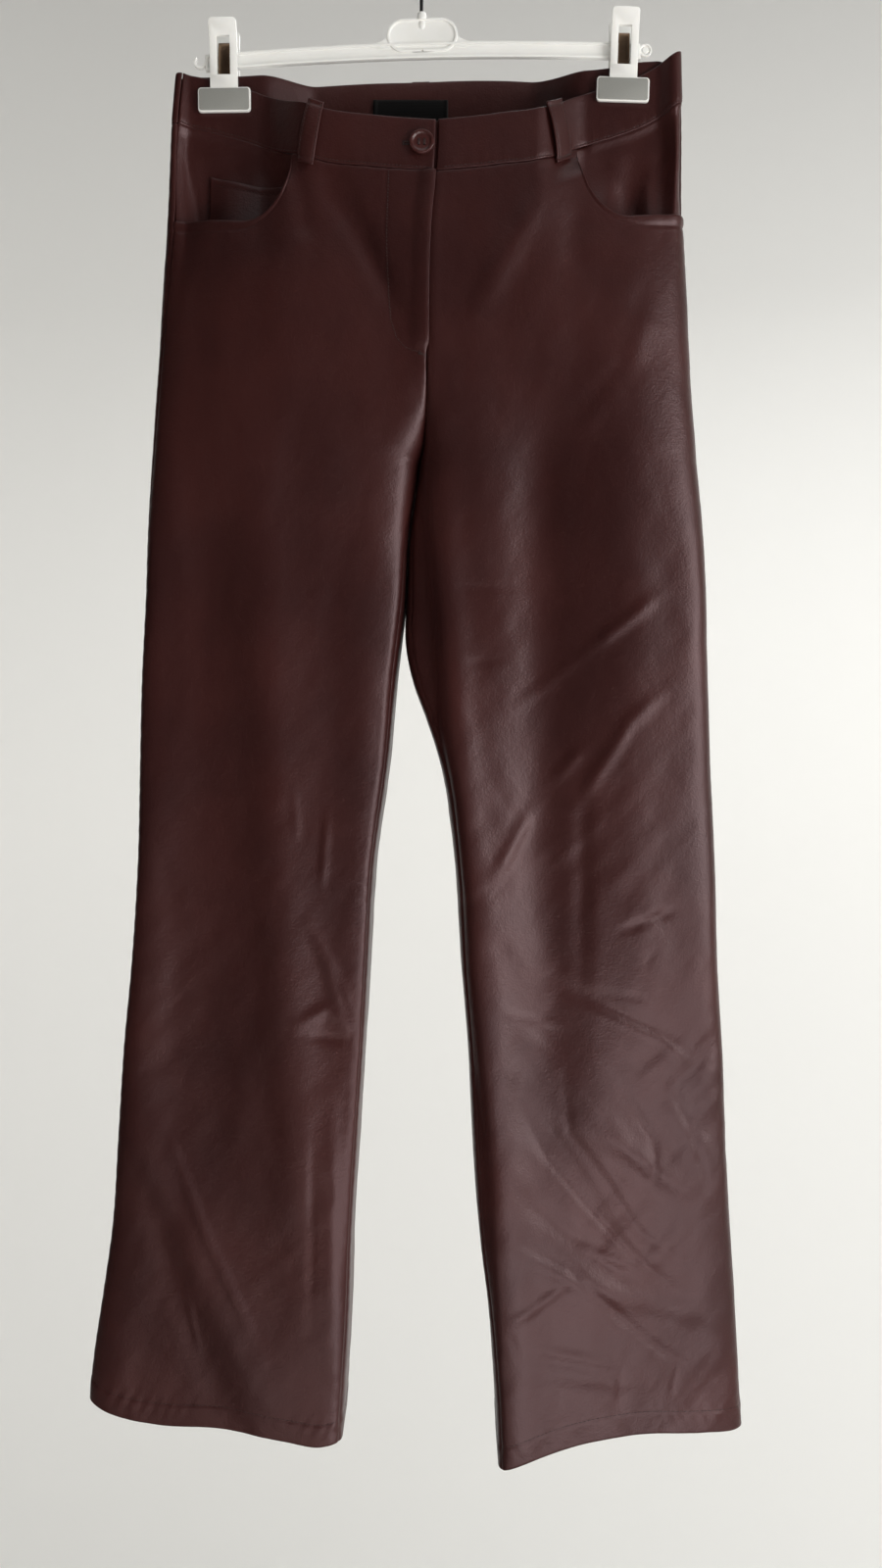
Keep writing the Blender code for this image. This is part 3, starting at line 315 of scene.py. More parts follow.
# The creases of wear and storage, in millimetres: half width, how far each stands out (minus: sinks in), and
# the (x, z) points that it runs through. The front has its own, and the back has ones like them.
CREASE_COLUMNS = ("width", "height", "points")
CREASES = {
    "front": (
        # hips, to the right of the fly and below the right pocket
        (10, -2.2, ((-94, -205), (-84, -268))),
        (9, -3.2, ((-69, -212), (-44, -261), (-14, -320))),
        (7, 1, ((-69, -209), (-41, -268))),
        (14, -1.5, ((-166, -284), (-168, -391))),
        (24, 1.5, ((-104, -252), (-102, -391))),
        # hips, to the left of the fly
        (12, 2.2, ((96, -217), (39, -319))),
        (12, -1.8, ((116, -229), (116, -295))),
        (25, -1.5, ((133, -262), (133, -329))),
        (10, 1.2, ((176, -312), (155, -359))),
        (24, 0.4, ((196, -262), (150, -300), (98, -345))),
        # right leg
        (9, 1.5, ((-9, -395), (-13, -500), (-20, -600), (-29, -760), (-36, -860))),
        (21, 4, ((-122, -400), (-118, -560), (-108, -700), (-100, -860), (-90, -950), (-86, -1090))),
        (20, -2, ((-60, -480), (-62, -600), (-64, -700), (-64, -860), (-64, -1000))),
        (3.5, 1.1, ((-70, -690), (-74, -750))),
        (3.5, 0.7, ((-95, -673), (-92, -715))),
        (5, 1.8, ((-84, -775), (-72, -800), (-57, -852))),
        (4, 1.1, ((-72, -793), (-49, -842))),
        (5, 1.5, ((-92, -850), (-70, -838), (-55, -852))),
        (4, -1.2, ((-87, -858), (-55, -862))),
        (3, -0.6, ((-70, -962), (-66, -986))),
        (7, 1.6, ((-66, -903), (-67, -1107))),
        (4, -0.9, ((-80, -925), (-82, -1080))),
        (5, 1.6, ((-205, -924), (-190, -943), (-162, -1011), (-117, -1101))),
        (14, -1.6, ((-215, -960), (-180, -1060), (-150, -1130))),
        (14, 1.6, ((-190, -420), (-176, -540), (-182, -660))),
        (12, -1.2, ((-200, -700), (-186, -790), (-190, -880))),
        (3, 0.6, ((-177, -1061), (-168, -1098))),
        (16, 1.2, ((-170, -903), (-174, -1056))),
        # left leg, down to the knee
        (7, 0.6, ((116, -412), (152, -369))),
        (3, -0.6, ((19, -523), (75, -523))),
        (3, -0.6, ((28, -581), (66, -576))),
        (5.5, 1.8, ((126, -570), (178, -529))),
        (5, 0.8, ((66, -617), (126, -570))),
        (6, 2, ((116, -688), (139, -651), (156, -624), (186, -597))),
        (5, 1.2, ((98, -669), (122, -643))),
        (6, 1.8, ((53, -743), (85, -686))),
        (13, 2.4, ((13, -400), (20, -520), (27, -640), (36, -760))),
        (17, 3.4, ((22, -500), (30, -655), (42, -770), (52, -860), (60, -944), (68, -1061), (72, -1150))),
        (24, -2, ((92, -350), (90, -600), (94, -830), (104, -1100))),
        (24, 3, ((157, -340), (158, -600), (162, -860))),
        (3.5, -1.4, ((148, -780), (190, -765))),
        (8, -1.8, ((121, -656), (120, -832))),
        # left shin: soft slanting bands, creases that run out from a point, and long slanting ones
        (9, 1.6, ((59, -836), (120, -900), (183, -973))),
        (8, -1.5, ((72, -895), (151, -1012))),
        (9, 1.7, ((118, -921), (216, -986))),
        (8, -1.5, ((72, -973), (151, -1039))),
        (9, 1.7, ((59, -1012), (140, -1050), (229, -1078))),
        (8, -1.6, ((98, -816), (190, -862))),
        (9, -1.2, ((180, -890), (232, -950))),
        (8, 1, ((80, -1100), (170, -1120))),
        (3.5, 1.1, ((117, -833), (178, -861), (212, -887))),
        (3, 0.6, ((57, -838), (109, -852))),
        (3.5, -0.7, ((126, -825), (167, -831))),
        (3, -0.5, ((167, -807), (175, -794))),
        (4, -1.2, ((64, -891), (94, -947), (122, -981), (160, -1024), (199, -1058))),
        (4, -1, ((107, -887), (111, -930), (139, -968), (164, -1007), (199, -1032))),
        (4, -1, ((188, -895), (207, -938), (220, -986))),
        (4, -0.9, ((135, -879), (162, -916), (175, -938), (175, -981))),
        (4, -1.2, ((73, -1007), (109, -1029), (143, -1063), (182, -1097), (221, -1123))),
        (3.5, 1.1, ((111, -1011), (162, -1034))),
        (3.5, 1.1, ((64, -1067), (109, -1041))),
        (3.5, 1, ((79, -1084), (156, -1106))),
        (3.5, -0.6, ((64, -1071), (73, -1093))),
        (3, -0.5, ((148, -1106), (149, -1136))),
        (3, -0.5, ((194, -1109), (188, -1131))),
    ),
    "back": (
        # seat and the backs of the legs
        (14, -1.4, ((-120, -190), (-70, -300), (-20, -380))),
        (12, -1.2, ((125, -200), (80, -310), (25, -385))),
        (10, 1, ((-60, -400), (-110, -440))),
        (9, -1.4, ((20, -440), (110, -470), (160, -465))),
        (9, -1.3, ((-15, -445), (-90, -480), (-170, -470))),
        (30, -2.2, ((-125, -500), (-130, -820))),
        (30, -2.2, ((125, -480), (135, -800))),
        (3.5, -1.4, ((-190, -640), (-140, -665), (-80, -655))),
        (3.5, 1.4, ((-185, -665), (-130, -690), (-85, -688))),
        (3.5, -1.4, ((60, -655), (110, -680), (185, -668))),
        (3.5, 1.2, ((75, -690), (130, -712), (190, -700))),
        (4, 0.9, ((-200, -760), (-150, -850), (-130, -930))),
        (3, -0.9, ((-90, -800), (-140, -880), (-195, -960))),
        (3, -0.9, ((210, -820), (160, -900), (100, -960))),
        (4, 0.8, ((80, -860), (110, -960), (175, -1030))),
        (3, -0.9, ((-215, -1000), (-150, -1040), (-85, -1100))),
        (3, 0.8, ((215, -960), (170, -1040), (120, -1100))),
        (3, -0.7, ((90, -1020), (140, -1065), (220, -1090))),
        (3, 0.7, ((-80, -960), (-120, -1010), (-125, -1075))),
    ),
}


def cubic(start, end, rise, fall, t):
    """A smooth way from start to end, with these slopes at the two."""
    bend = (2 * start - 2 * end + rise + fall) * t + (3 * end - 3 * start - 2 * rise - fall)
    return (bend * t + rise) * t + start


class Table:
    """Rows of named columns, read at any place between them along a smooth cubic."""

    def __init__(self, columns, rows):
        rows = np.array(sorted(rows), float)
        self.at = rows[:, 0]
        self.values = {name: rows[:, i] for i, name in enumerate(columns)}
        self.slopes = {name: np.gradient(column, self.at) for name, column in self.values.items()}

    def __call__(self, name, place):
        place = np.clip(place, self.at[0], self.at[-1])
        i = np.clip(np.searchsorted(self.at, place) - 1, 0, len(self.at) - 2)
        span = self.at[i + 1] - self.at[i]
        values, slopes = self.values[name], self.slopes[name]
        rise, fall = slopes[i] * span, slopes[i + 1] * span
        return cubic(values[i], values[i + 1], rise, fall, (place - self.at[i]) / span)


WAIST = Table(EDGE_COLUMNS, WAIST_ROWS)
HEM = Table(EDGE_COLUMNS, HEM_ROWS)
CENTRE = Table(CENTRE_COLUMNS, CENTRE_ROWS)
SECTIONS = {RIGHT: Table(SECTION_COLUMNS, RIGHT_ROWS), LEFT: Table(SECTION_COLUMNS, LEFT_ROWS)}
CURVE_WAY = np.array([-0.01, *np.linspace(0, 1, 180), 1.01])  # a little past each seam, for the normals
SHARE_STEP, LEVEL_STEP = 0.005, 0.0006
SURVEY_SHARES = np.arange(-2, 203) * SHARE_STEP
SURVEY_LEVELS = np.arange(-1.186, -0.096, LEVEL_STEP)


def smoothstep(low, high, value):
    t = np.clip((value - low) / (high - low), 0, 1)
    return t * t * (3 - 2 * t)


def bell(away, width):
    """1 where away is 0, and fading to nothing at about twice the width."""
    return np.exp(-((away / width) ** 2))


def pad_middle(side):
    low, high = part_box(f"clip_{SIDE_NAMES[side]}_pad_front")
    return (low[0] + high[0]) / 2


PRESSED_X = {side: pad_middle(side) for side in (RIGHT, LEFT)}


def level_curves(side, face, z):
    """The panel's level sections at the heights in z, from its inner to its side seam: x, y and crest."""
    z = z[:, None]
    section = SECTIONS[side]
    above = z > CROTCH_Z
    inner_turn = np.where(above, 0, section("inner_turn", z))
    outer_turn = section("outer_turn", z)
    if face == "front":
        angle = inner_turn + (math.pi - outer_turn - inner_turn) * CURVE_WAY
        angle = np.where(above, np.maximum(angle, 0), angle)
    else:
        angle = inner_turn - (math.pi + outer_turn + inner_turn) * CURVE_WAY
        angle = np.where(above, np.minimum(angle, 0), angle)
    power = 2 / np.interp(z, ROUNDNESS_AT, ROUNDNESS)
    across = np.abs(np.cos(angle)) ** power
    stand = np.abs(np.sin(angle)) ** power
    inner_half = np.cos(angle) > 0
    in_front = np.sin(angle) > (-1e-9 if face == "front" else 1e-9)
    crest = section("crest", z)
    place = np.where(inner_half, crest * (1 - across), crest + (1 - crest) * across)
    drop = np.where(above, np.clip(CENTRE(face + "_drop", z), 0, 1), 1)
    stand = np.where(inner_half, 1 - drop * (1 - stand), stand)
    inner_x = np.where(above, CENTRE(face + "_x", z), section("inner_x", z)) + side * SEAM_GAP / 2
    x = inner_x + (section("outer_x", z) - inner_x) * place
    middle = section("inner_y", z) + (section("outer_y", z) - section("inner_y", z)) * place
    y = middle + np.where(in_front, -section("front", z), section("back", z)) * stand
    return x, y, np.where(in_front, -stand, stand)


surveys = {}


def survey(side, face):
    """A side's plain form on a close grid of heights and shares: x, y and crest."""
    if (side, face) not in surveys:
        curves = level_curves(side, face, SURVEY_LEVELS)
        run = np.cumsum(np.hypot(np.diff(curves[0]), np.diff(curves[1])), axis=1)
        run = np.hstack([np.zeros((len(run), 1)), run]) - run[:, :1]
        inner_gap = np.where(SURVEY_LEVELS > CROTCH_Z, 0, SEAM_GAP / 2)
        grid = np.empty((3, len(SURVEY_LEVELS), len(SURVEY_SHARES)))
        for row, gap in enumerate(inner_gap):
            wanted = SURVEY_SHARES * (run[row, -2] - gap - SEAM_GAP / 2) + gap
            for values, curve in zip(grid, curves):
                values[row] = np.interp(wanted, run[row], curve[row])
        surveys[side, face] = grid
    return surveys[side, face]


# The left front's inner fold, in millimetres: where its corner runs, and how far the cloth on its inner side
# has sunk back. That side is turned towards the other leg.
INNER_FOLD_COLUMNS = ("z", "x", "depth")
INNER_FOLD = (
    (-400, 5, 0), (-430, 6, 2), (-463, 7, 5), (-504, 11, 7), (-560, 17, 8), (-620, 21, 8),
    (-670, 25, 7), (-730, 32, 6), (-780, 37, 6), (-852, 43, 6), (-918, 52, 5), (-1060, 57, 5),
    (-1165, 60, 4),
)


def inner_fold(x, z):
    """How far the left front stands back at (x, z) for its inner fold."""
    fold = Table(INNER_FOLD_COLUMNS, INNER_FOLD)
    corner, depth = fold("x", 1000 * z), fold("depth", 1000 * z)
    return depth * (1 - smoothstep(-9, 1.5, 1000 * x - corner)) / 1000


def fold_height(face, x, z):
    """How far the folds of one face stand out at (x, z)."""
    height = np.zeros(x.shape)
    for row in FOLDS[face]:
        fold = dict(zip(FOLD_COLUMNS, row))
        run_x, run_z = fold["x1"] - fold["x0"], fold["z1"] - fold["z0"]
        length = math.hypot(run_x, run_z)
        along = ((x - fold["x0"]) * run_x + (z - fold["z0"]) * run_z) / length
        aside = ((x - fold["x0"]) * run_z - (z - fold["z0"]) * run_x) / length
        beyond = np.maximum(0, np.maximum(-along, along - length))
        near = (aside / fold["width"]) ** 2 + (beyond / (2 * fold["width"])) ** 2
        height += fold["height"] * np.exp(-near)
    return height


def lay(side, face, share, z, pull):
    """Points of the cloth's plain outer face, and how far the clip has pressed it flat there."""
    grid = survey(side, face)
    column = np.clip((share - SURVEY_SHARES[0]) / SHARE_STEP, 0, len(SURVEY_SHARES) - 1.001)
    row = np.clip((z - SURVEY_LEVELS[0]) / LEVEL_STEP, 0, len(SURVEY_LEVELS) - 1.001)
    c, r = column.astype(int), row.astype(int)
    u, v = column - c, row - r
    x, y, stand = (
        (grid[:, r, c] * (1 - u) + grid[:, r, c + 1] * u) * (1 - v)
        + (grid[:, r + 1, c] * (1 - u) + grid[:, r + 1, c + 1] * u) * v
    )
    aside = side * (x - PRESSED_X[side])
    faded = np.where(aside > 0, VALLEY_OUTER, VALLEY_INNER)
    pinch = (1 - smoothstep(VALLEY_FLAT, faded, np.abs(aside))) * smoothstep(VALLEY_END, VALLEY_TOP, z) * pull
    y = y * (1 - pinch) + PRESSED_Y * np.clip(stand / 0.45, -1, 1) * pinch
    y = y + stand * np.where(stand < 0, fold_height("front", x, z), fold_height("back", x, z))
    if side == LEFT:
        y = y - np.minimum(stand, 0) * inner_fold(x, z)
    return np.stack([x, y, z], axis=-1), pinch


def from_line(x, z, points):
    """How far (x, z) is from a line of points, and its share of the way along it."""
    lengths = [math.dist(a, b) for a, b in zip(points, points[1:])]
    nearest, share, done = np.full(x.shape, np.inf), np.zeros(x.shape), 0
    for (x0, z0), (x1, z1), length in zip(points, points[1:], lengths):
        t = np.clip(((x - x0) * (x1 - x0) + (z - z0) * (z1 - z0)) / length**2, 0, 1)
        away = np.hypot(x - x0 - t * (x1 - x0), z - z0 - t * (z1 - z0))
        share = np.where(away < nearest, (done + t * length) / sum(lengths), share)
        nearest = np.minimum(nearest, away)
        done += length
    return nearest, share


def crease_height(face, x, z):
    """How far the creases of one face stand out at (x, z), in metres. They fade towards their ends."""
    x, z = 1000 * x, 1000 * z
    height = np.zeros(x.shape)
    for row in CREASES[face]:
        crease = dict(zip(CREASE_COLUMNS, row))
        away, share = from_line(x, z, crease["points"])
        near = (away / crease["width"]) ** 2
        ends = 0.25 + 0.75 * smoothstep(0, 0.3, np.minimum(share, 1 - share))
        height += crease["height"] * ends * (1 - 0.35 * near) * np.exp(-0.9 * near)
    return height / 1000


# Unevenness from wear: waves in millimetres, their lengths drawn between a shortest and a longest.
WAVE_COLUMNS = ("tall", "across_low", "across_high", "down_low", "down_high", "count")
WAVES = ((0.3, 40, 130, 120, 520, 14), (0.085, 16, 40, 24, 90, 16), (0.028, 8, 15, 8, 18, 18))


def wave_height(face, x, z):
    dice = np.random.default_rng({"front": 5, "back": 6}[face])
    height = np.zeros(x.shape)
    for row in WAVES:
        wave = dict(zip(WAVE_COLUMNS, row))
        for _ in range(wave["count"]):
            across = dice.uniform(wave["across_low"], wave["across_high"])
            down = dice.uniform(wave["down_low"], wave["down_high"])
            slant, start = dice.choice((-1, 1)), dice.uniform(0, 2 * math.pi)
            phase = 2 * math.pi * (1000 * x / across + slant * 1000 * z / down) + start
            swing = np.sin(phase + 0.7 * np.sin(phase * 0.37 + start))
            height += wave["tall"] / math.sqrt(wave["count"]) * swing
    return height / 1000


def waist_z(side, face, share):
    return WAIST(f"{face}_{SIDE_NAMES[side]}", share)


def waist_seam_z(side, face, share):
    return waist_z(side, face, share) - WAISTBAND_HEIGHT


def cloth_frame(side, face, share, z, pull):
    """Points on the cloth with its folds, creases and waves, and its normals there."""
    ahead, behind = (lay(side, face, share + step, z, pull)[0] for step in (0.008, -0.008))
    above, below = (lay(side, face, share, z + step, pull)[0] for step in (0.002, -0.002))
    normals = np.cross(ahead - behind, above - below) * (side if face == "front" else -side)
    normals /= np.linalg.norm(normals, axis=-1, keepdims=True)
    points, pinch = lay(side, face, share, z, pull)
    under_band = smoothstep(0, 0.01, waist_seam_z(side, face, share) - z)
    uneven = crease_height(face, points[..., 0], z) * under_band
    uneven += wave_height(face, points[..., 0], z) * (0.35 + 0.65 * under_band)
    inseam = smoothstep(0, 0.04, share)
    inseam += (1 - inseam) * smoothstep(CROTCH_Z - 0.015, CROTCH_Z + 0.015, z)
    uneven *= inseam * smoothstep(0, 0.04, 1 - share) * (1 - pinch)
    return points + normals * uneven[..., None], normals


def cloth_points(side, face, share, z, out=0.0, pull=1.0):
    """Points on the cloth, moved out along its normal. share, z, out and pull are arrays or numbers."""
    share, z, out, pull = (np.array(v, float) for v in np.broadcast_arrays(share, z, out, pull))
    points, normals = cloth_frame(side, face, share, z, pull)
    return points + normals * out[..., None]


def front_pull(side, share, z):
    """The front panels bridge the valleys, but meet the waistband and the back panels."""
    at_band = 1 - smoothstep(0, FRONT_PULL_BELOW, waist_seam_z(side, "front", share) - z)
    return FRONT_PULL + (1 - FRONT_PULL) * np.maximum(at_band, smoothstep(0.82, 1.0, share))


def edge_z(side, share):
    """The lower edge of a pocket mouth."""
    mouth = MOUTHS[side]
    return np.interp(share, (mouth["round"], 1), (mouth["edge_z"], mouth["side_z"]))


def mouth_z(side, share):
    """Upper edge of a front panel: the waist seam, then the quarter round and the pocket's lower edge."""
    start, end = MOUTHS[side]["start"], MOUTHS[side]["round"]
    seam = waist_seam_z(side, "front", np.minimum(share, start))
    turned = np.clip((share - start) / (end - start), 0, 1)
    return seam - SEAM_GAP - (seam - edge_z(side, share)) * (1 - (1 - turned) ** 2) ** 0.5


def sheet_mesh(name, outer, inner, materials):
    """A closed sheet between two grids of points, with rounded edges. The last finish is the inner one."""
    rows, columns = outer.shape[:2]
    count = rows * columns
    order = [(0, c) for c in range(columns)] + [(r, columns - 1) for r in range(1, rows)]
    order += [(rows - 1, c) for c in range(columns - 2, -1, -1)] + [(r, 0) for r in range(rows - 2, 0, -1)]
    r, c = np.array(order).T
    away = outer[r, c] - outer[np.clip(r, 1, rows - 2), np.clip(c, 1, columns - 2)]
    away /= np.linalg.norm(away, axis=1, keepdims=True)
    thick = np.linalg.norm(outer[r, c] - inner[r, c], axis=1, keepdims=True)
    middle = (outer[r, c] + inner[r, c]) / 2 + away * thick * 0.4
    corner = (np.arange(rows - 1)[:, None] * columns + np.arange(columns - 1)).ravel()
    quads = np.stack([corner, corner + 1, corner + 1 + columns, corner + columns], axis=1)
    start = r * columns + c
    end = np.roll(start, -1)
    ring = 2 * count + np.arange(len(order))
    next_ring = np.roll(ring, -1)
    rim = [(end, start, ring, next_ring), (next_ring, ring, start + count, end + count)]
    rim = np.vstack([np.stack(corners, axis=1) for corners in rim])
    faces = np.vstack([quads, rim, quads[:, ::-1] + count])
    a, b, d = outer[0, 0], outer[0, 1], outer[1, 0]
    if np.dot(np.cross(b - a, d - a), outer[0, 0] - inner[0, 0]) < 0:
        faces = faces[:, ::-1]
    points = np.vstack([outer.reshape(-1, 3), inner.reshape(-1, 3), middle])
    made = new_mesh(name, points.tolist(), faces.tolist(), materials)
    inside = np.zeros(len(faces), int)
    inside[len(quads) + len(rim) :] = len(materials) - 1
    made.data.polygons.foreach_set("material_index", inside)
    return made


def stand_for(piece, slot, *nodes):
    """The piece rides on the one body, and takes the place of these CAD nodes."""
    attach(piece, "root")
    if nodes:
        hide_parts(*nodes)


# Where a Mix node keeps its two colours and its result.
MIX_FROM, MIX_TO, MIX_COLOUR = 6, 7, 2
# Polyurethane skin, pressed with a fine pebble grain and satin coated: a dark burgundy with a broad soft
# shine. The real grain is 0.4 mm and is drawn at 1.3 mm, the least that shows. The shine varies in faint
# streaks down the cloth, and the colour drifts over hand-sized patches.
leather = new_material(
    "polyurethane_faux_leather", "#331513", 0.42, IOR=1.5, Specular_Tint=linear("#fbe2e5")
)
place = add_node(leather, "TexCoord", {}, "Object")
patches = add_node(leather, "TexNoise", {"Vector": place, "Scale": 9.0, "Detail": 3.0})
drift = add_node(leather, "ValToRGB", {"Fac": patches})
for stop, position, code in zip(drift.node.color_ramp.elements, (0.35, 0.68), ("#2e1210", "#391916")):
    stop.position, stop.color = position, linear(code)
strokes = add_node(leather, "Mapping", {"Vector": place, "Scale": (1.0, 1.0, 0.12)})
streaks = add_node(leather, "TexNoise", {"Vector": strokes, "Scale": 60.0, "Detail": 4.0})
dullness = add_node(leather, "MapRange", {"Value": streaks, "To Min": 0.36, "To Max": 0.48})
grain = add_node(leather, "TexVoronoi", {"Vector": place, "Scale": 1 / 0.0013}, feature="SMOOTH_F1")
ripple = add_node(leather, "TexNoise", {"Vector": place, "Scale": 1 / 0.004, "Detail": 2.0})
bump = add_node(leather, "Bump", {"Height": grain, "Strength": 0.26, "Distance": 0.0004})
bump = add_node(leather, "Bump", {"Height": ripple, "Strength": 0.26, "Distance": 0.0006, "Normal": bump})
# Faint wrinkles 25 mm apart that slant both ways. They come in patches, and are plainest low on the left leg.
spot = add_node(leather, "SeparateXYZ", {"Vector": place}).node.outputs
low_down = add_node(
    leather, "MapRange",
    {"Value": spot["Z"], "From Min": -0.45, "From Max": -0.8, "To Min": 0.25, "To Max": 1.0},
    interpolation_type="SMOOTHSTEP",
)
leftward = add_node(
    leather, "MapRange",
    {"Value": spot["X"], "From Min": -0.03, "From Max": 0.04, "To Min": 0.4, "To Max": 1.0},
)
worn = add_node(leather, "Math", {0: low_down, 1: leftward}, operation="MULTIPLY")
for slant, depth, seat in ((42, 0.0042, 0.0), (-50, 0.0036, 5.0)):
    laid = add_node(
        leather, "Mapping",
        {"Vector": place, "Rotation": (0, math.radians(slant), 0), "Location": (seat, 0, 0)},
    )
    drawn = add_node(leather, "Mapping", {"Vector": laid, "Scale": (10.0, 8.0, 38.0)})
    wrinkles = add_node(leather, "TexNoise", {"Vector": drawn, "Scale": 1.0, "Detail": 1.2})
    spread = add_node(leather, "TexNoise", {"Vector": laid, "Scale": 11.0, "Detail": 1.0})
    patch = add_node(
        leather, "MapRange", {"Value": spread, "From Min": 0.42, "From Max": 0.66},
        interpolation_type="SMOOTHSTEP",
    )
    shown = add_node(leather, "Math", {0: patch, 1: worn}, operation="MULTIPLY")
    crossed = {"Height": wrinkles, "Strength": shown, "Distance": depth, "Normal": bump}
    bump = add_node(leather, "Bump", crossed)
shade(leather, {"Base Color": drift, "Roughness": dullness, "Normal": bump})

# The brushed knit that backs the skin: matt, in the same brown, with ribs 1.5 mm apart.
backing = new_material("brushed_knit_backing", "#3d2b28", 0.95, Sheen_Weight=0.3, Sheen_Roughness=0.5)
place = add_node(backing, "TexCoord", {}, "Object")
rib_settings = {"Vector": place, "Scale": 0.25 / 0.0015, "Distortion": 0.6}
ribs = add_node(backing, "TexWave", rib_settings, "Fac", bands_direction="X")
fluff = add_node(backing, "TexNoise", {"Vector": place, "Scale": 900.0, "Detail": 3.0})
knit = add_node(backing, "Math", {0: ribs, 1: fluff}, operation="MULTIPLY")
nap = add_node(backing, "Bump", {"Height": knit, "Strength": 0.5, "Distance": 0.0004})
browns = {"Factor": fluff, MIX_FROM: linear("#2f201e"), MIX_TO: linear("#4b3633")}
knit_colour = add_node(backing, "Mix", browns, MIX_COLOUR, data_type="RGBA")
shade(backing, {"Base Color": knit_colour, "Normal": nap})

LEVEL_TOP = -0.3  # the panels' rows are level from here down to the hem's turning
ROW_STEP = 0.0029
TURNING_TOP = -1.118
HEM_TURNING, HEM_STITCH = 0.021, 0.016
EDGE_SUNK, EDGE_ROLL = 0.0005, 0.0012  # how far a sewn edge turns down, and over what width
ALLOWANCE, ALLOWANCE_RISE = 0.01, 0.00025  # the turned allowance that shows through beside a seam
PUCKER_REACH = 0.006  # from a seam into the cloth
MOUTH_ROLL = 0.006  # the turned edge of a pocket mouth
LAP_SHIFT, LAP_PROUD, LAP_END_Z = 0.0018, 0.0014, -0.344
# The fly's topstitching, down from the waistband and in to the seam, and the bar of stitches at its foot:
# (share, z) on the right front.
FLY_STITCH = (
    (0.168, -0.208), (0.16, -0.24), (0.151, -0.272), (0.142, -0.3), (0.13, -0.322), (0.108, -0.336),
    (0.078, -0.343), (0.045, -0.346), (0.012, -0.3465),
)
FLY_TACK = ((0.03, -0.3478), (0.001, -0.3492))


def panel_shares(side, face):
    """Columns of a panel: closer together at the seams and round the start of the pocket mouth."""
    edge = np.array((0, 0.0015, 0.0035, 0.0065, 0.0105, 0.016, 0.023))
    if face == "back":
        return np.array([*edge, *np.linspace(0.033, 0.967, 92), *(1 - edge[::-1])])
    start, end = MOUTHS[side]["start"], MOUTHS[side]["round"]
    turned = start + (end - start) * (1 - np.cos(np.linspace(0, math.pi / 2, 26)))
    before = np.linspace(0.033, start - 0.0012, 52)
    after = np.linspace(end, 0.967, 28)[1:]
    return np.array([*edge, *before, *turned, *after, *(1 - edge[::-1])])


def panel_heights(side, face, shares):
    top = mouth_z(side, shares) if face == "front" else waist_seam_z(side, face, shares) - SEAM_GAP
    upper = top + (LEVEL_TOP - top) * (np.linspace(0, 1, 38, endpoint=False) ** 1.25)[:, None]
    levels = np.arange(LEVEL_TOP, TURNING_TOP, -ROW_STEP)[:, None] * np.ones(len(shares))
    lower = np.linspace(0, 1, 36)[1:, None]
    hem = HEM(f"{face}_{SIDE_NAMES[side]}", shares)
    return np.vstack([upper, levels, levels[-1] + (hem - levels[-1]) * lower])


def uneven_waves(run, spacing, drift, rate, start=0, lean=0):
    """Puckers along a seam: waves whose spacing drifts."""
    return np.sin(2 * math.pi * run / spacing + start + drift * np.sin(run * rate + start) + lean)


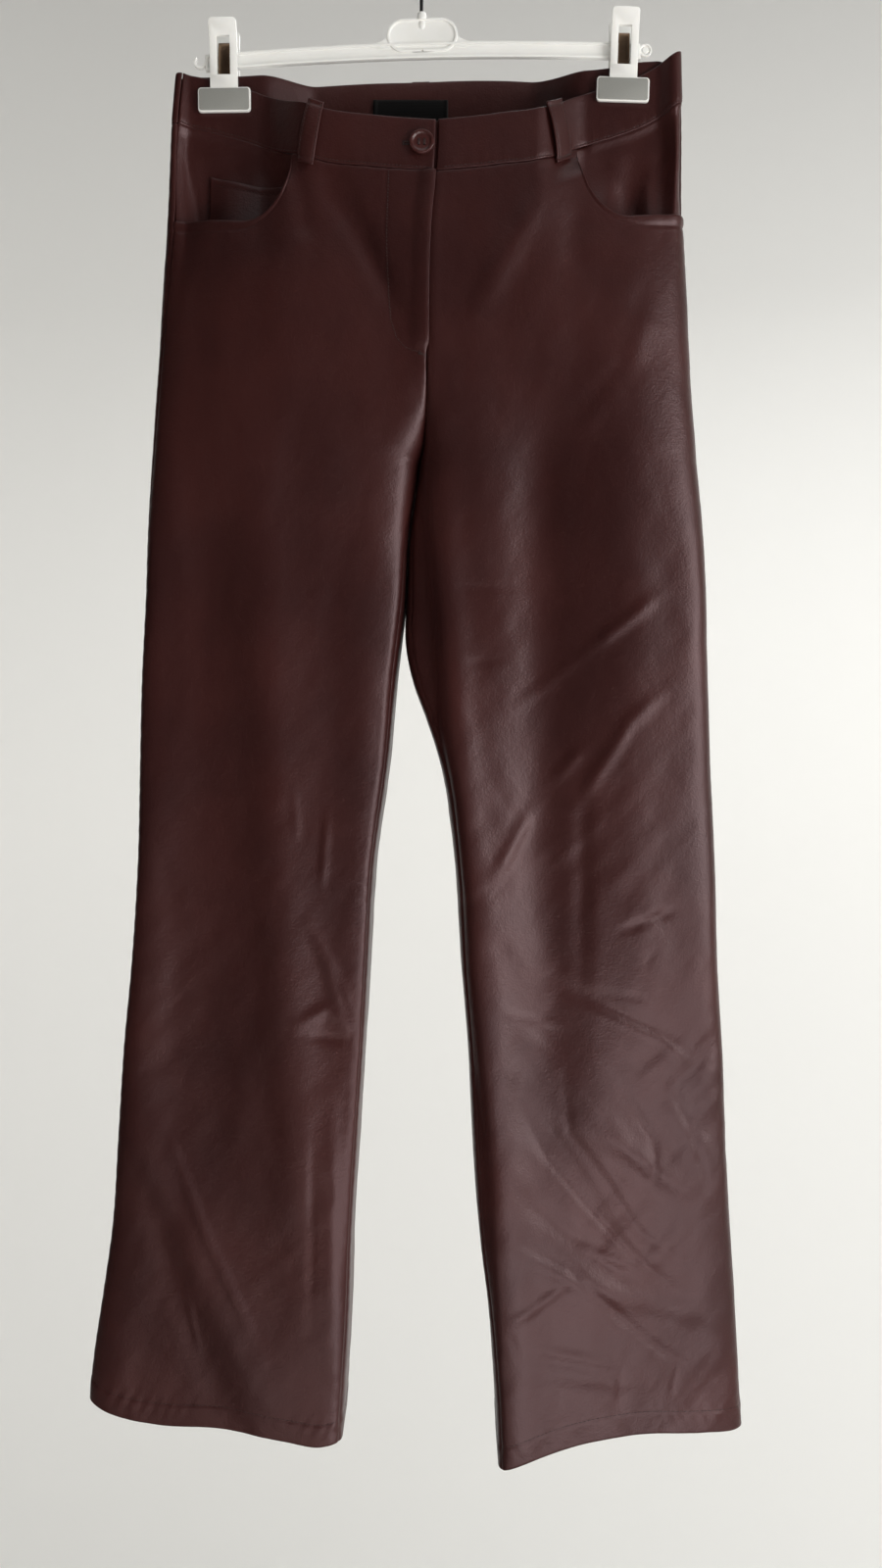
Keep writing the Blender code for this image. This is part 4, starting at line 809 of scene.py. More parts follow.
def leg_panel(side, face):
    """One panel, and what a stitch needs to lie on it."""
    name = f"{face}_{SIDE_NAMES[side]}"
    shares = panel_shares(side, face)
    z = panel_heights(side, face, shares)
    share = np.broadcast_to(shares, z.shape)
    pull = front_pull(side, share, z) if face == "front" else np.ones(z.shape)
    points, normals = cloth_frame(side, face, share, z, pull)
    run = np.linalg.norm(np.diff(points, axis=1), axis=2)
    run = np.hstack([np.zeros((len(z), 1)), np.cumsum(run, axis=1)])
    from_inner, from_side = run, run[:, -1:] - run
    below_seam = waist_seam_z(side, face, share) - z
    above_hem = z - z[-1]

    # the seams: a rolled edge, the turned allowance behind, and puckers
    out = np.zeros(z.shape)
    for away, start in ((from_inner, 1.0), (from_side, 4.0)):
        out -= EDGE_SUNK * bell(away, EDGE_ROLL)
        out += ALLOWANCE_RISE * (1 - smoothstep(ALLOWANCE - 0.003, ALLOWANCE, away))
        puckers = 0.00016 * uneven_waves(z, 0.0135, 1.3, 61, start)
        out += puckers * np.exp(-away / PUCKER_REACH) * (1 - np.exp(-away / 0.001))
    out -= EDGE_SUNK * bell(below_seam, EDGE_ROLL)
    out += 0.00014 * uneven_waves(run, 0.012, 1.1, 70) * np.exp(-np.maximum(below_seam, 0) / 0.007)

    # the hem: turned up and topstitched, which gathers it a little
    out += 0.0004 * (1 - smoothstep(HEM_STITCH, HEM_STITCH + 0.003, above_hem))
    out -= 0.0004 * bell(above_hem - HEM_STITCH, 0.0013)
    puckers = 0.00013 * uneven_waves(run, 0.0105, 1.6, 47, lean=6 * above_hem / HEM_TURNING)
    out += puckers * (1 + np.sin(run * 31 + 2)) * bell(above_hem - HEM_STITCH + 0.003, 0.008)

    thick = CLOTH + 0.0008 * (1 - smoothstep(HEM_TURNING - 0.001, HEM_TURNING + 0.001, above_hem))
    if face == "front":
        # the pocket mouth: an edge turned over a facing
        mouth = [(run[0, i], z[0, i]) for i in range(len(shares)) if shares[i] >= MOUTHS[side]["start"]]
        away = from_line(run, z, mouth)[0]
        near = np.clip(away / MOUTH_ROLL, 0, 1.4)
        out += 0.0007 * np.clip(1 - near**3, 0, 1) - 0.0005 * bell(near - 1.12, 0.18)
        out -= 0.0005 * bell(away, 0.0008)
    lapped = smoothstep(LAP_END_Z - 0.002, LAP_END_Z + 0.006, z)
    if (side, face) == (RIGHT, "front"):
        # the fly: it laps over the left front as far down as its bar of stitches
        agape = LAP_PROUD + 0.0008 * smoothstep(-0.3, -0.24, z)
        out += (agape + 0.0005) * lapped * (1 - smoothstep(0.002, 0.014, from_inner))
        points[..., 0] += LAP_SHIFT * lapped * (1 - smoothstep(0.0005, 0.01, from_inner))
        line = [(np.interp(s, shares, run[40]), height) for s, height in FLY_STITCH]
        away = from_line(run, z, line)[0]
        out -= 0.00035 * bell(away, 0.0014)
        reach, height = np.array(line[::-1]).T
        inside = smoothstep(-0.0005, 0.0015, np.interp(z, height, reach) - run)
        out += 0.00022 * inside * lapped
    if (side, face) == (LEFT, "front"):
        out -= 0.0008 * lapped * (1 - smoothstep(0.001, 0.006, from_inner))
    outer = points + normals * out[..., None]
    inner = outer - normals * thick[..., None]
    made = sheet_mesh(f"{name}_panel", outer, inner, [leather, backing])
    stand_for(made, "faux_leather", name)
    return {"piece": made, "shares": shares, "z": z, "outer": outer, "normals": normals, "run": run}


def on_panel(panel, share, height):
    """A point on a panel's outer face, and the normal there."""
    i = int(np.clip(np.searchsorted(panel["shares"], share) - 1, 0, len(panel["shares"]) - 2))
    t = (share - panel["shares"][i]) / (panel["shares"][i + 1] - panel["shares"][i])
    found = []
    for grid in (panel["outer"], panel["normals"]):
        columns = [
            [np.interp(-height, -panel["z"][:, j], grid[:, j, axis]) for axis in range(3)] for j in (i, i + 1)
        ]
        found.append(np.array(columns[0]) * (1 - t) + np.array(columns[1]) * t)
    return found


panels = {(side, face): leg_panel(side, face) for side in (RIGHT, LEFT) for face in ("front", "back")}

# ---- Waistbands -----------------------------------------------------------------------------------------
# A strip of the same cloth, folded over a stiffener and closed over the panels' upper edges. It is in three
# pieces, joined at the side seams, and its right front end laps over the left one.
BAND_CLOTH, BAND_PROUD, LAYER = 0.0022, 0.0004, 0.0005
LAP_FROM, LAP_TO = 0.003, 0.013  # shares over which the left end steps out from behind the right one
UNDERLAP_WAY = -0.17
# Round a band's section, in millimetres: how far down from its top, and out from its outer face.
BAND_RING = (
    (40, -0.6), (39.7, -0.25), (39.1, -0.08), (38.5, -0.1), (38, -0.18), (37.5, -0.08), (36.8, 0.02),
    (35, 0.1), (32, 0.05), (28, 0), (24, 0), (20, 0), (16, 0), (12, 0), (8, 0.02),
    (5, 0.06), (3, 0.05), (1.8, 0.02), (1.1, -0.02), (0.55, -0.16), (0.16, -0.55), (0, -1.1),
    (0.16, -1.65), (0.55, -2.04), (1.1, -2.18), (3, -2.24), (8, -2.2), (16, -2.2), (24, -2.2),
    (32, -2.2), (37, -2.24), (38, -2.05), (39, -2.22), (39.8, -2),
)


def points_on(face, way, z, out, bridged=False):
    """Points by a way round: -1 is the right side seam, 0 the centre and 1 the left side seam."""
    way, z, out = np.broadcast_arrays(way, z, out)
    found = np.empty((*way.shape, 3))
    for side in (RIGHT, LEFT):
        here = (way < 0) == (side == RIGHT)
        share = np.abs(way[here])
        pull = front_pull(side, share, z[here]) if bridged else 1.0
        found[here] = cloth_points(side, face, share, z[here], out[here], pull)
    return found


def waist_on(face, way):
    return np.where(way < 0, waist_z(RIGHT, face, np.abs(way)), waist_z(LEFT, face, np.abs(way)))


def tube_mesh(name, rings, materials):
    """A closed solid through rings of points."""
    count, around = rings.shape[:2]
    row, column = (v.ravel() for v in np.meshgrid(np.arange(count - 1), np.arange(around), indexing="ij"))
    following = (column + 1) % around
    this, above = row * around, (row + 1) * around
    faces = np.stack([this + column, this + following, above + following, above + column], axis=1)
    points = rings.reshape(-1, 3)
    corners = points[faces]
    volume = np.einsum("ij,ij->", corners[:, 0], np.cross(corners[:, 1], corners[:, 2]))
    volume += np.einsum("ij,ij->", corners[:, 0], np.cross(corners[:, 2], corners[:, 3]))
    faces = faces.tolist()
    faces += [list(range(around))[::-1], list(range((count - 1) * around, count * around))]
    if volume < 0:
        faces = [face[::-1] for face in faces]
    return new_mesh(name, points.tolist(), faces, materials)


def waistband(name, face, ways, outs, node):
    """Sweeps the folded section along the waist. Its ends are pressed thin, as sewn ends are."""
    down, lift = np.array(BAND_RING).T / 1000
    to_end = np.minimum(ways - ways[0], ways[-1] - ways) / 0.004
    full = 0.45 + 0.55 * smoothstep(0, 1, to_end)[:, None]
    middle = -BAND_CLOTH / 2
    out = outs[:, None] + middle + (lift - middle) * full
    z = waist_on(face, ways)[:, None] - down
    rings = points_on(face, ways[:, None], z, out)
    gather = 0.00012 * uneven_waves(ways, 0.047, 1.2, 31)[:, None]
    rings[..., 1] += gather * smoothstep(0.02, 0.038, down)
    made = tube_mesh(name, rings, [leather])
    stand_for(made, "faux_leather", node)
    return made


ends = np.array((0, 0.0015, 0.004, 0.008))
run_in = np.linspace(0.018, 0.982, 96)
quarter = np.array([*ends, *run_in, *(1 - ends[::-1])])
band_right = waistband(
    "band_front_right", "front", np.minimum(-quarter[::-1], -1e-4), np.full(len(quarter), BAND_PROUD),
    "waistband_front_right",
)
hidden = UNDERLAP_WAY + np.array([*ends, *np.linspace(0.015, -UNDERLAP_WAY - 0.004, 16)])
left_ways = np.array([*hidden, 0.002, *np.linspace(LAP_FROM, LAP_TO, 8), *quarter[7:]])
under = BAND_PROUD - BAND_CLOTH - LAYER
left_outs = under + (BAND_PROUD - under) * smoothstep(LAP_FROM, LAP_TO, left_ways)
band_left = waistband("band_front_left", "front", left_ways, left_outs, "waistband_front_left")
back_ways = np.array([*-quarter[::-1], *quarter[1:]])
band_back = waistband("band_back", "back", back_ways, np.full(len(back_ways), BAND_PROUD), "waistband_back")


# ---- Pocket bearers and coin pocket -----------------------------------------------------------------------
# Behind each pocket mouth lies a piece of the face cloth, sewn in at the waist and the side seam. The right
# one carries a small coin pocket with a turned and topstitched upper edge that slants up towards the side.
BEARER_BELOW = 0.016
COIN_CLOTH, COIN_BELOW = 0.001, 0.01
COIN_INNER = {"share": 0.59, "z": -0.212}
COIN_OUTER = {"share": 0.87, "z": -0.198}
COIN_STITCH = 0.0055

# The valley down each bearer: its bottom's x, its widths towards -X and +X, and its depth.
BEARER_VALLEY_COLUMNS = ("x", "low_side", "high_side", "depth")
BEARER_VALLEYS = {RIGHT: (-0.175, 0.004, 0.017, 0.01), LEFT: (0.164, 0.017, 0.008, 0.012)}


def bearer_sag(side, share, z):
    """How far a bearer has fallen back from the front panel, and never as far as the back one."""
    valley = dict(zip(BEARER_VALLEY_COLUMNS, BEARER_VALLEYS[side]))
    below = waist_seam_z(side, "front", share) - z
    place = cloth_points(side, "front", share, z)
    room = np.maximum(2 * np.abs(place[..., 1]) - 0.005, 0.0003)
    aside = place[..., 0] - valley["x"]
    width = np.where(aside < 0, valley["low_side"], valley["high_side"])
    sag = 0.002 * smoothstep(0, 0.02, below) * (1 - smoothstep(0.84, 0.97, share))
    sag = sag + valley["depth"] * bell(aside, width) * smoothstep(0, 0.014, below)
    return -room * np.tanh(sag / room)


def pocket_bearer(side, depth):
    name = f"pocket_bearer_{SIDE_NAMES[side]}"
    share = np.linspace(MOUTHS[side]["start"] - 0.034, 1, 62)
    top = waist_seam_z(side, "front", share) - SEAM_GAP
    foot = edge_z(side, share) + SEAM_GAP - BEARER_BELOW * (1 - smoothstep(0.88, 0.96, share))
    down = np.linspace(0, 1, 44)[:, None]
    z = top + (foot - top) * down
    at_seam = 1 - smoothstep(0, 0.008, waist_seam_z(side, "front", share) - z)
    at_seam = at_seam * smoothstep(0.03, 0.07, share - MOUTHS[side]["start"])
    out = -(CLOTH + LAYER) * (1 - at_seam) - depth * smoothstep(0, 0.4, down)
    crumple = 0.0005 * np.sin(share * 46 + 5 * down) * np.sin(math.pi * down)
    out = out + (crumple + bearer_sag(side, share, z)) * smoothstep(0, 0.04, 1 - share)
    grids = [cloth_points(side, "front", share, z, out - thick) for thick in (0, CLOTH)]
    made = sheet_mesh(f"{name}_cloth", *grids, [leather, backing])
    stand_for(made, "faux_leather", name)


def coin_edge(share):
    """The upper edge of the coin pocket."""
    return np.interp(share, (COIN_INNER["share"], COIN_OUTER["share"]), (COIN_INNER["z"], COIN_OUTER["z"]))


pocket_bearer(RIGHT, COIN_CLOTH + LAYER)
pocket_bearer(LEFT, 0.0)
share = np.linspace(COIN_INNER["share"], COIN_OUTER["share"], 44)
coin_top = coin_edge(share)
coin_height = coin_top - edge_z(RIGHT, share) + COIN_BELOW
down = np.linspace(0, 1, 40)[:, None] * coin_height
out = -(CLOTH + LAYER) + 0.0003 * (1 - smoothstep(COIN_STITCH, COIN_STITCH + 0.001, down))
out -= 0.0003 * bell(down - COIN_STITCH, 0.0012) + 0.0004 * bell(down, 0.001)
out += bearer_sag(RIGHT, share, coin_top - down)
grids = [cloth_points(RIGHT, "front", share, coin_top - down, out - thick) for thick in (0, COIN_CLOTH)]
coin = sheet_mesh("coin_pocket_cloth", *grids, [leather, backing])
stand_for(coin, "faux_leather", "coin_pocket")


# ---- Fly ------------------------------------------------------------------------------------------------
# Behind the fly's edge are a zip, with its tapes sewn to both fronts, and a strip of the cloth that covers it
# from inside. Closed and hung up, neither shows.
# Polyester zip tape: a fine plain weave of dull dark threads.
tape = new_material("woven_polyester_tape", "#2f1b1b", 0.8, Sheen_Weight=0.2)
place = add_node(tape, "TexCoord", {}, "Object")
warp, weft = (
    add_node(tape, "TexWave", {"Vector": place, "Scale": 0.25 / 0.0008}, "Fac", bands_direction=way)
    for way in ("X", "Z")
)
weave = add_node(tape, "Math", {0: warp, 1: weft}, operation="MULTIPLY")
shade(tape, {"Normal": add_node(tape, "Bump", {"Height": weave, "Strength": 0.5, "Distance": 0.0002})})
# How far each layer reaches to the right and the left of the centre, its lower end and how deep it lies.
FLY_COLUMNS = ("name", "to_right", "to_left", "end_z", "depth", "slot", "flat")
FLY_LAYERS = (
    ("fly_zip", 0.07, 0.07, -0.325, CLOTH + 2 * LAYER, "zip_tape", (0.032, 0.120)),
    ("fly_underlap", 0.05, 0.16, -0.337, 2 * (CLOTH + 2 * LAYER), "faux_leather", (0.045, 0.130)),
)
for row in FLY_LAYERS:
    layer = dict(zip(FLY_COLUMNS, row))
    way = np.array([*np.linspace(-layer["to_right"], -0.003, 12), *np.linspace(0.003, layer["to_left"], 16)])
    top = waist_on("front", way) - WAISTBAND_HEIGHT - SEAM_GAP
    z = top + (layer["end_z"] - top) * np.linspace(0, 1, 50)[:, None]
    grids = [points_on("front", way, z, -layer["depth"] - thick) for thick in (0, CLOTH)]
    finishes = [tape] if layer["slot"] == "zip_tape" else [leather, backing]
    made = sheet_mesh(layer["name"] + "_cloth", *grids, finishes)
    stand_for(made, layer["slot"], layer["name"])


# ---- Belt loops -----------------------------------------------------------------------------------------
# Five narrow strips, folded in three and edge-stitched on both sides. Each is barred down over the top of the
# waistband and under its seam, and bows out between.
LOOP_COLUMNS = ("face", "first", "last", "slant", "above")
BELT_LOOPS = (
    ("front", -0.478, -0.42, -0.035, 0.003),
    ("front", 0.409, 0.47, 0.037, 0.003),
    ("back", -0.42, -0.36, 0, -0.0005),
    ("back", -0.032, 0.032, 0, 0.0015),
    ("back", 0.36, 0.42, 0, -0.0005),
)
LOOP_THICK, LOOP_BOW, LOOP_BELOW = 0.002, 0.002, 0.0065
# Half a loop's section, from one edge to the middle of its outer and of its inner face: how far in from the
# edge, and out from the outer face. In millimetres; the other half mirrors it.
LOOP_WIDTH = 11.0
LOOP_OUTER = (
    (0, -1), (0.12, -0.4), (0.5, -0.05), (0.9, 0.02), (1.3, -0.2), (1.7, 0.02), (2.6, 0.12),
    (4, 0.16), (5.5, 0.18),
)
LOOP_INNER = ((0.2, -1.7), (1.4, -2.0), (3.5, -2.0), (5.5, -2.0))
LOOP_RING = [
    *LOOP_OUTER,
    *((LOOP_WIDTH - across, lift) for across, lift in (*LOOP_OUTER[-2::-1], *LOOP_INNER)),
    *LOOP_INNER[-2::-1],
]
LOOP_BARS = (0.075, 0.925)  # where the bars are, as shares of the loop's length
loop_lines = []
bar_lines = []


def loop_at(loop, across, down, lift):
    """Points of a loop, by the share across and down it."""
    way = loop["first"] + (loop["last"] - loop["first"]) * across + loop["slant"] * down
    top = waist_on(loop["face"], way) + loop["above"]
    z = top - (WAISTBAND_HEIGHT + loop["above"] + LOOP_BELOW) * down
    between_bars = np.clip((down - LOOP_BARS[0]) / (LOOP_BARS[1] - LOOP_BARS[0]), 0, 1)
    bow = LOOP_BOW * np.sin(math.pi * between_bars) ** 0.6
    out = BAND_PROUD + 2 * LAYER + LOOP_THICK - 0.0004 + bow + lift
    for bar in LOOP_BARS:
        out = out - 0.0005 * bell(down - bar, 0.022)
    return points_on(loop["face"], way, z, out, loop["face"] == "front")


for number, row in enumerate(BELT_LOOPS, 1):
    loop = dict(zip(LOOP_COLUMNS, row))
    across, lift = np.array(LOOP_RING).T / ((LOOP_WIDTH,), (1000,))
    down = np.array([0, 0.004, 0.012, *np.linspace(0.025, 0.975, 52), 0.988, 0.996, 1])[:, None]
    full = 0.4 + 0.6 * smoothstep(0, 0.016, np.minimum(down, 1 - down))
    lift = -LOOP_THICK / 2 + (lift + LOOP_THICK / 2) * full
    made = tube_mesh(f"loop_{number}", loop_at(loop, across, down, lift), [leather])
    stand_for(made, "faux_leather", f"belt_loop_{number}")
    side = LEFT if loop["first"] > 0 else RIGHT
    under = "band_back" if loop["face"] == "back" else "band_front_" + SIDE_NAMES[side]
    way = np.linspace(0.02, 0.98, 60)
    for edge in (1.3 / LOOP_WIDTH, 1 - 1.3 / LOOP_WIDTH):
        loop_lines.append(loop_at(loop, np.full(60, edge), way, -0.0001))
    for bar in LOOP_BARS:
        for shift in (-0.01, 0.01):
            bar_lines.append(loop_at(loop, np.linspace(0.08, 0.92, 16), np.full(16, bar + shift), 0.0001))


# ---- Label ----------------------------------------------------------------------------------------------
# A plain black woven label, bare, inside the back waistband. Its two ends are folded under and sewn.
LABEL_TOP_Z, LABEL_HEIGHT, LABEL_CLOTH = -0.127, 0.022, 0.0007
LABEL_WAYS = (-0.175, 0.1)
satin = new_material("woven_satin_label", "#060506", 0.5, Specular_IOR_Level=0.25)
place = add_node(satin, "TexCoord", {}, "Object")
thread_settings = {"Vector": place, "Scale": 0.25 / 0.0009, "Distortion": 0.4}
threads = add_node(satin, "TexWave", thread_settings, "Fac", bands_direction="Z")
shade(satin, {"Normal": add_node(satin, "Bump", {"Height": threads, "Strength": 0.35, "Distance": 0.0002})})
way = np.linspace(*LABEL_WAYS, 60)
down = np.linspace(0, 1, 20)[:, None]
z = LABEL_TOP_Z - LABEL_HEIGHT * down + 0 * way
inside = BAND_PROUD - BAND_CLOTH - LAYER
folded = 0.0004 * (1 - smoothstep(0.01, 0.014, np.minimum(way - way[0], way[-1] - way)))
loose = inside - folded - 0.0004 * down**2 * np.sin(math.pi * (way - way[0]) / (way[-1] - way[0]))
grids = [points_on("back", way, z, loose - thick) for thick in (0, LABEL_CLOTH)]
label = sheet_mesh("label_bare", *grids, [satin])
stand_for(label, "label_satin", "label")


# ---- Button ---------------------------------------------------------------------------------------------
# A moulded four-hole button in the cloth's colour, 18.6 mm across, with a raised round rim. It is sewn to the
# left band's end and comes through a buttonhole that is worked across the right one.
BUTTON_WAY, BUTTON_Z = -0.05, -0.1885
BUTTON_RADIUS, BUTTON_HEIGHT, BUTTON_RIM = 0.0093, 0.003, 0.002
BUTTON_DISH, DISH_FLOOR = 0.0012, 0.88  # its depth, and its floor's width as a share of its mouth's
HOLE_RADIUS, HOLE_APART = 0.0009, 0.0021
SMOOTH_BELOW = math.radians(40)  # edges that turn more than this are shaded sharp
# Polyester resin, moulded and tumbled: a deep red-brown with faint clouds and a soft gloss.
resin = new_material("polyester_resin_button", "#3f1f1d", 0.3, Coat_Weight=0.3)
place = add_node(resin, "TexCoord", {}, "Object")
clouds = add_node(resin, "TexNoise", {"Vector": place, "Scale": 240.0, "Detail": 2.0})
reds = {"Factor": clouds, MIX_FROM: linear("#351816"), MIX_TO: linear("#4a2725")}
shade(resin, {"Base Color": add_node(resin, "Mix", reds, MIX_COLOUR, data_type="RGBA")})


def select(piece, kind, test):
    """Edit mode, with only those faces or edges of the piece selected that pass the test."""
    bpy.ops.object.mode_set(mode="EDIT")
    bpy.ops.mesh.select_mode(type=kind)
    bpy.ops.mesh.select_all(action="DESELECT")
    bpy.ops.object.mode_set(mode="OBJECT")
    for part in piece.data.polygons if kind == "FACE" else piece.data.edges:
        part.select = test(part)
    bpy.ops.object.mode_set(mode="EDIT")


def active(piece):
    """Makes the piece the only one selected."""
    bpy.ops.object.select_all(action="DESELECT")
    piece.select_set(True)
    bpy.context.view_layer.objects.active = piece


def add_solid(operator, scale=(1, 1, 1), **settings):
    """A primitive with its place, turn and scale applied, and nothing else selected."""
    bpy.ops.object.select_all(action="DESELECT")
    operator(**settings)
    bpy.context.object.scale = scale
    bpy.ops.object.transform_apply(location=True, rotation=True, scale=True)
    return bpy.context.object


def bevelled(piece, width, segments=2, angle=35):
    """Bevels the edges that turn more than the angle, in degrees."""
    active(piece)
    bevel = piece.modifiers.new("bevel", "BEVEL")
    bevel.width, bevel.segments, bevel.angle_limit = width, segments, math.radians(angle)
    bpy.ops.object.modifier_apply(modifier="bevel")
    bpy.ops.object.shade_smooth_by_angle(angle=SMOOTH_BELOW)
    return piece


def cut(piece, tool, operation="DIFFERENCE"):
    """A Boolean that uses up its tool."""
    active(piece)
    change = piece.modifiers.new("cut", "BOOLEAN")
    change.operation, change.object, change.solver = operation, tool, "EXACT"
    bpy.ops.object.modifier_apply(modifier="cut")
    bpy.data.objects.remove(tool, do_unlink=True)


def finished(piece, matrix, finish):
    """Puts a piece in its place, and gives it its one material and its shading."""
    active(piece)
    bpy.ops.object.transform_apply(location=True, rotation=True, scale=True)
    piece.data.transform(matrix)
    piece.data.materials.clear()
    piece.data.materials.append(finish)
    bpy.ops.object.shade_smooth_by_angle(angle=SMOOTH_BELOW)


def facing(face, way, z, out):
    """The place of something that lies flat on the cloth there: its Z axis stands out from the cloth."""
    middle, across, above = (
        Vector(points_on(face, *(np.array(v) for v in (*place, out))))
        for place in ((way, z), (way + 0.02, z), (way, z + 0.004))
    )
    along = (across - middle).normalized()
    normal = along.cross(above - middle).normalized()
    along = (above - middle).cross(normal).normalized()
    turned = Matrix((along, normal.cross(along), normal)).transposed().to_4x4()
    return Matrix.Translation(middle) @ turned


button = add_solid(
    bpy.ops.mesh.primitive_cylinder_add, vertices=48, radius=BUTTON_RADIUS, depth=BUTTON_HEIGHT
)
button.name = "button_four_hole"
select(button, "FACE", lambda face: face.normal.z > 0.9)
bpy.ops.mesh.inset(thickness=BUTTON_RIM)
bpy.ops.mesh.extrude_region_move(TRANSFORM_OT_translate={"value": (0, 0, -BUTTON_DISH)})
bpy.ops.transform.resize(value=(DISH_FLOOR, DISH_FLOOR, 1.0))
bpy.ops.mesh.inset(thickness=0.0014)
bpy.ops.transform.translate(value=(0, 0, -0.0002))
select(button, "FACE", lambda face: face.normal.z < -0.9)
bpy.ops.mesh.inset(thickness=0.0015)
bpy.ops.transform.translate(value=(0, 0, -0.0003))
bpy.ops.object.mode_set(mode="OBJECT")
bevelled(button, 0.0006, 4, 30)
for hole_x in (-HOLE_APART, HOLE_APART):
    for hole_y in (-HOLE_APART, HOLE_APART):
        hole = add_solid(
            bpy.ops.mesh.primitive_cylinder_add, vertices=14, radius=HOLE_RADIUS, depth=0.01,
            location=(hole_x, hole_y, 0),
        )
        cut(button, hole)
button_place = facing("front", BUTTON_WAY, BUTTON_Z, BAND_PROUD + 2 * LAYER + BUTTON_HEIGHT / 2 + 0.0003)
finished(button, button_place, resin)
stand_for(button, "button_plastic", "button")


# ---- Stitches -------------------------------------------------------------------------------------------
# Polyester thread in the cloth's colour: lockstitch along the edges and round the fly, bars on the belt loops
# and at the fly's foot, the worked buttonhole, and the strands that hold the button.
thread = new_material("polyester_thread", "#2c1614", 0.6, Sheen_Weight=0.12, Sheen_Roughness=0.4)
place = add_node(thread, "TexCoord", {}, "Object")
ply_settings = {"Vector": place, "Scale": 0.25 / 0.0006}
plies = add_node(thread, "TexWave", ply_settings, "Fac", bands_direction="DIAGONAL")
shade(thread, {"Normal": add_node(thread, "Bump", {"Height": plies, "Strength": 0.4, "Distance": 0.0001})})
bead = add_solid(
    bpy.ops.mesh.primitive_uv_sphere_add, segments=6, ring_count=5, radius=1.0, rotation=(0, math.pi / 2, 0)
)
BEAD_POINTS = np.array([v.co for v in bead.data.vertices])
BEAD_FACES = [list(face.vertices) for face in bead.data.polygons]
bpy.data.objects.remove(bead, do_unlink=True)


def sew(name, stitches, thick=0.0006):
    """One mesh of stitches. Each is (from, to, the direction that it stands out in)."""
    points, faces = [], []
    for start, end, up in stitches:
        along = end - start
        length = np.linalg.norm(along)
        along = along / length
        across = np.cross(up, along)
        across /= np.linalg.norm(across)
        up = np.cross(along, across)
        stretch = np.sign(np.round(BEAD_POINTS[:, 0], 3)) * (length - thick) / 2
        reach = BEAD_POINTS[:, 0] * thick / 2 + stretch
        body = (start + end) / 2 + reach[:, None] * along
        body = body + (BEAD_POINTS[:, 1:2] * across + BEAD_POINTS[:, 2:3] * up) * thick / 2
        body = body - up * (reach[:, None] / length * 2) ** 2 * thick * 0.25
        faces += [[i + len(points) * len(BEAD_POINTS) for i in face] for face in BEAD_FACES]
        points.append(body)
    made = new_mesh(name, np.vstack(points).tolist(), faces, [thread])
    stand_for(made, "faux_leather")


def along_line(points, normals, pitch, length):
    """Stitches along a line of points."""
    run = np.concatenate([[0], np.cumsum(np.linalg.norm(np.diff(points, axis=0), axis=1))])
    found = []
    for start in np.arange(0.001, run[-1] - length, pitch):
        a, b, up = (
            np.array([np.interp(place, run, grid[:, axis]) for axis in range(3)])
            for place, grid in ((start, points), (start + length, points), (start + length / 2, normals))
        )
        found.append((a, b, up))
    return found


def outward(lines):
    """Rough outward directions for lines of points on the waist: away from the middle of the trousers."""
    return [np.stack([0 * line[:, 0], np.sign(line[:, 1]), 0 * line[:, 2]], axis=1) for line in lines]


def between(places, count):
    """Shares and heights at even steps through (share, z) places."""
    way = np.linspace(0, len(places) - 1, count)
    return [np.interp(way, range(len(places)), column) for column in np.array(places).T]


def panel_line(panel, share, height):
    """The points of a line on a panel, and its normals there."""
    found = [on_panel(panel, s, h) for s, h in zip(share, height)]
    return [np.array([f[i] for f in found]) for i in (0, 1)]


fly_line, fly_normals = panel_line(panels[RIGHT, "front"], *between(FLY_STITCH, 120))
sew("fly_topstitching", along_line(fly_line + 0.0001 * fly_normals, fly_normals, 0.0028, 0.0021))
tack, tack_normals = panel_line(panels[RIGHT, "front"], *between(FLY_TACK, 12))
bars = []
for shift in (-0.0005, 0, 0.0005):
    line = tack + tack_normals * 0.0005 + np.array((0, 0, shift))
    bars.append((line[0], line[-1], tack_normals[0]))
sew("fly_bar", bars, 0.0007)
hem_stitches = []
for (side, face), panel in panels.items():
    share = np.linspace(0.004, 0.996, 200)
    line, normals = panel_line(panel, share, HEM(f"{face}_{SIDE_NAMES[side]}", share) + HEM_STITCH)
    hem_stitches += along_line(line + 0.0001 * normals, normals, 0.0034, 0.0027)
sew("hem_topstitching", hem_stitches, 0.00045)
edge_lines = []
for face, first, last in (("front", -0.995, -0.01), ("front", 0.03, 0.995), ("back", -0.995, 0.995)):
    way = np.linspace(first, last, 260)
    edge_lines.append(points_on(face, way, waist_on(face, way) - 0.038, BAND_PROUD - 0.00012))
for name, lines, pitch, length in (
    ("band_topstitching", edge_lines, 0.003, 0.0023),
    ("loop_topstitching", loop_lines, 0.0028, 0.0021),
):
    stitches = [s for line, up in zip(lines, outward(lines)) for s in along_line(line, up, pitch, length)]
    sew(name, stitches, 0.00055)
sew("loop_bars", [(line[0], line[-1], up[0]) for line, up in zip(bar_lines, outward(bar_lines))], 0.0008)
share = np.linspace(COIN_INNER["share"] + 0.01, COIN_OUTER["share"] - 0.01, 60)
height = coin_edge(share) - COIN_STITCH
coin_line = cloth_points(RIGHT, "front", share, height, bearer_sag(RIGHT, share, height) - CLOTH - LAYER)
sew("coin_topstitching", along_line(coin_line, outward([coin_line])[0], 0.0026, 0.0019), 0.0005)
STRANDS_Z = BUTTON_HEIGHT / 2 - 0.0009
button_up = np.array(button_place.to_3x3() @ Vector((0, 0, 1)))
button_strands = []
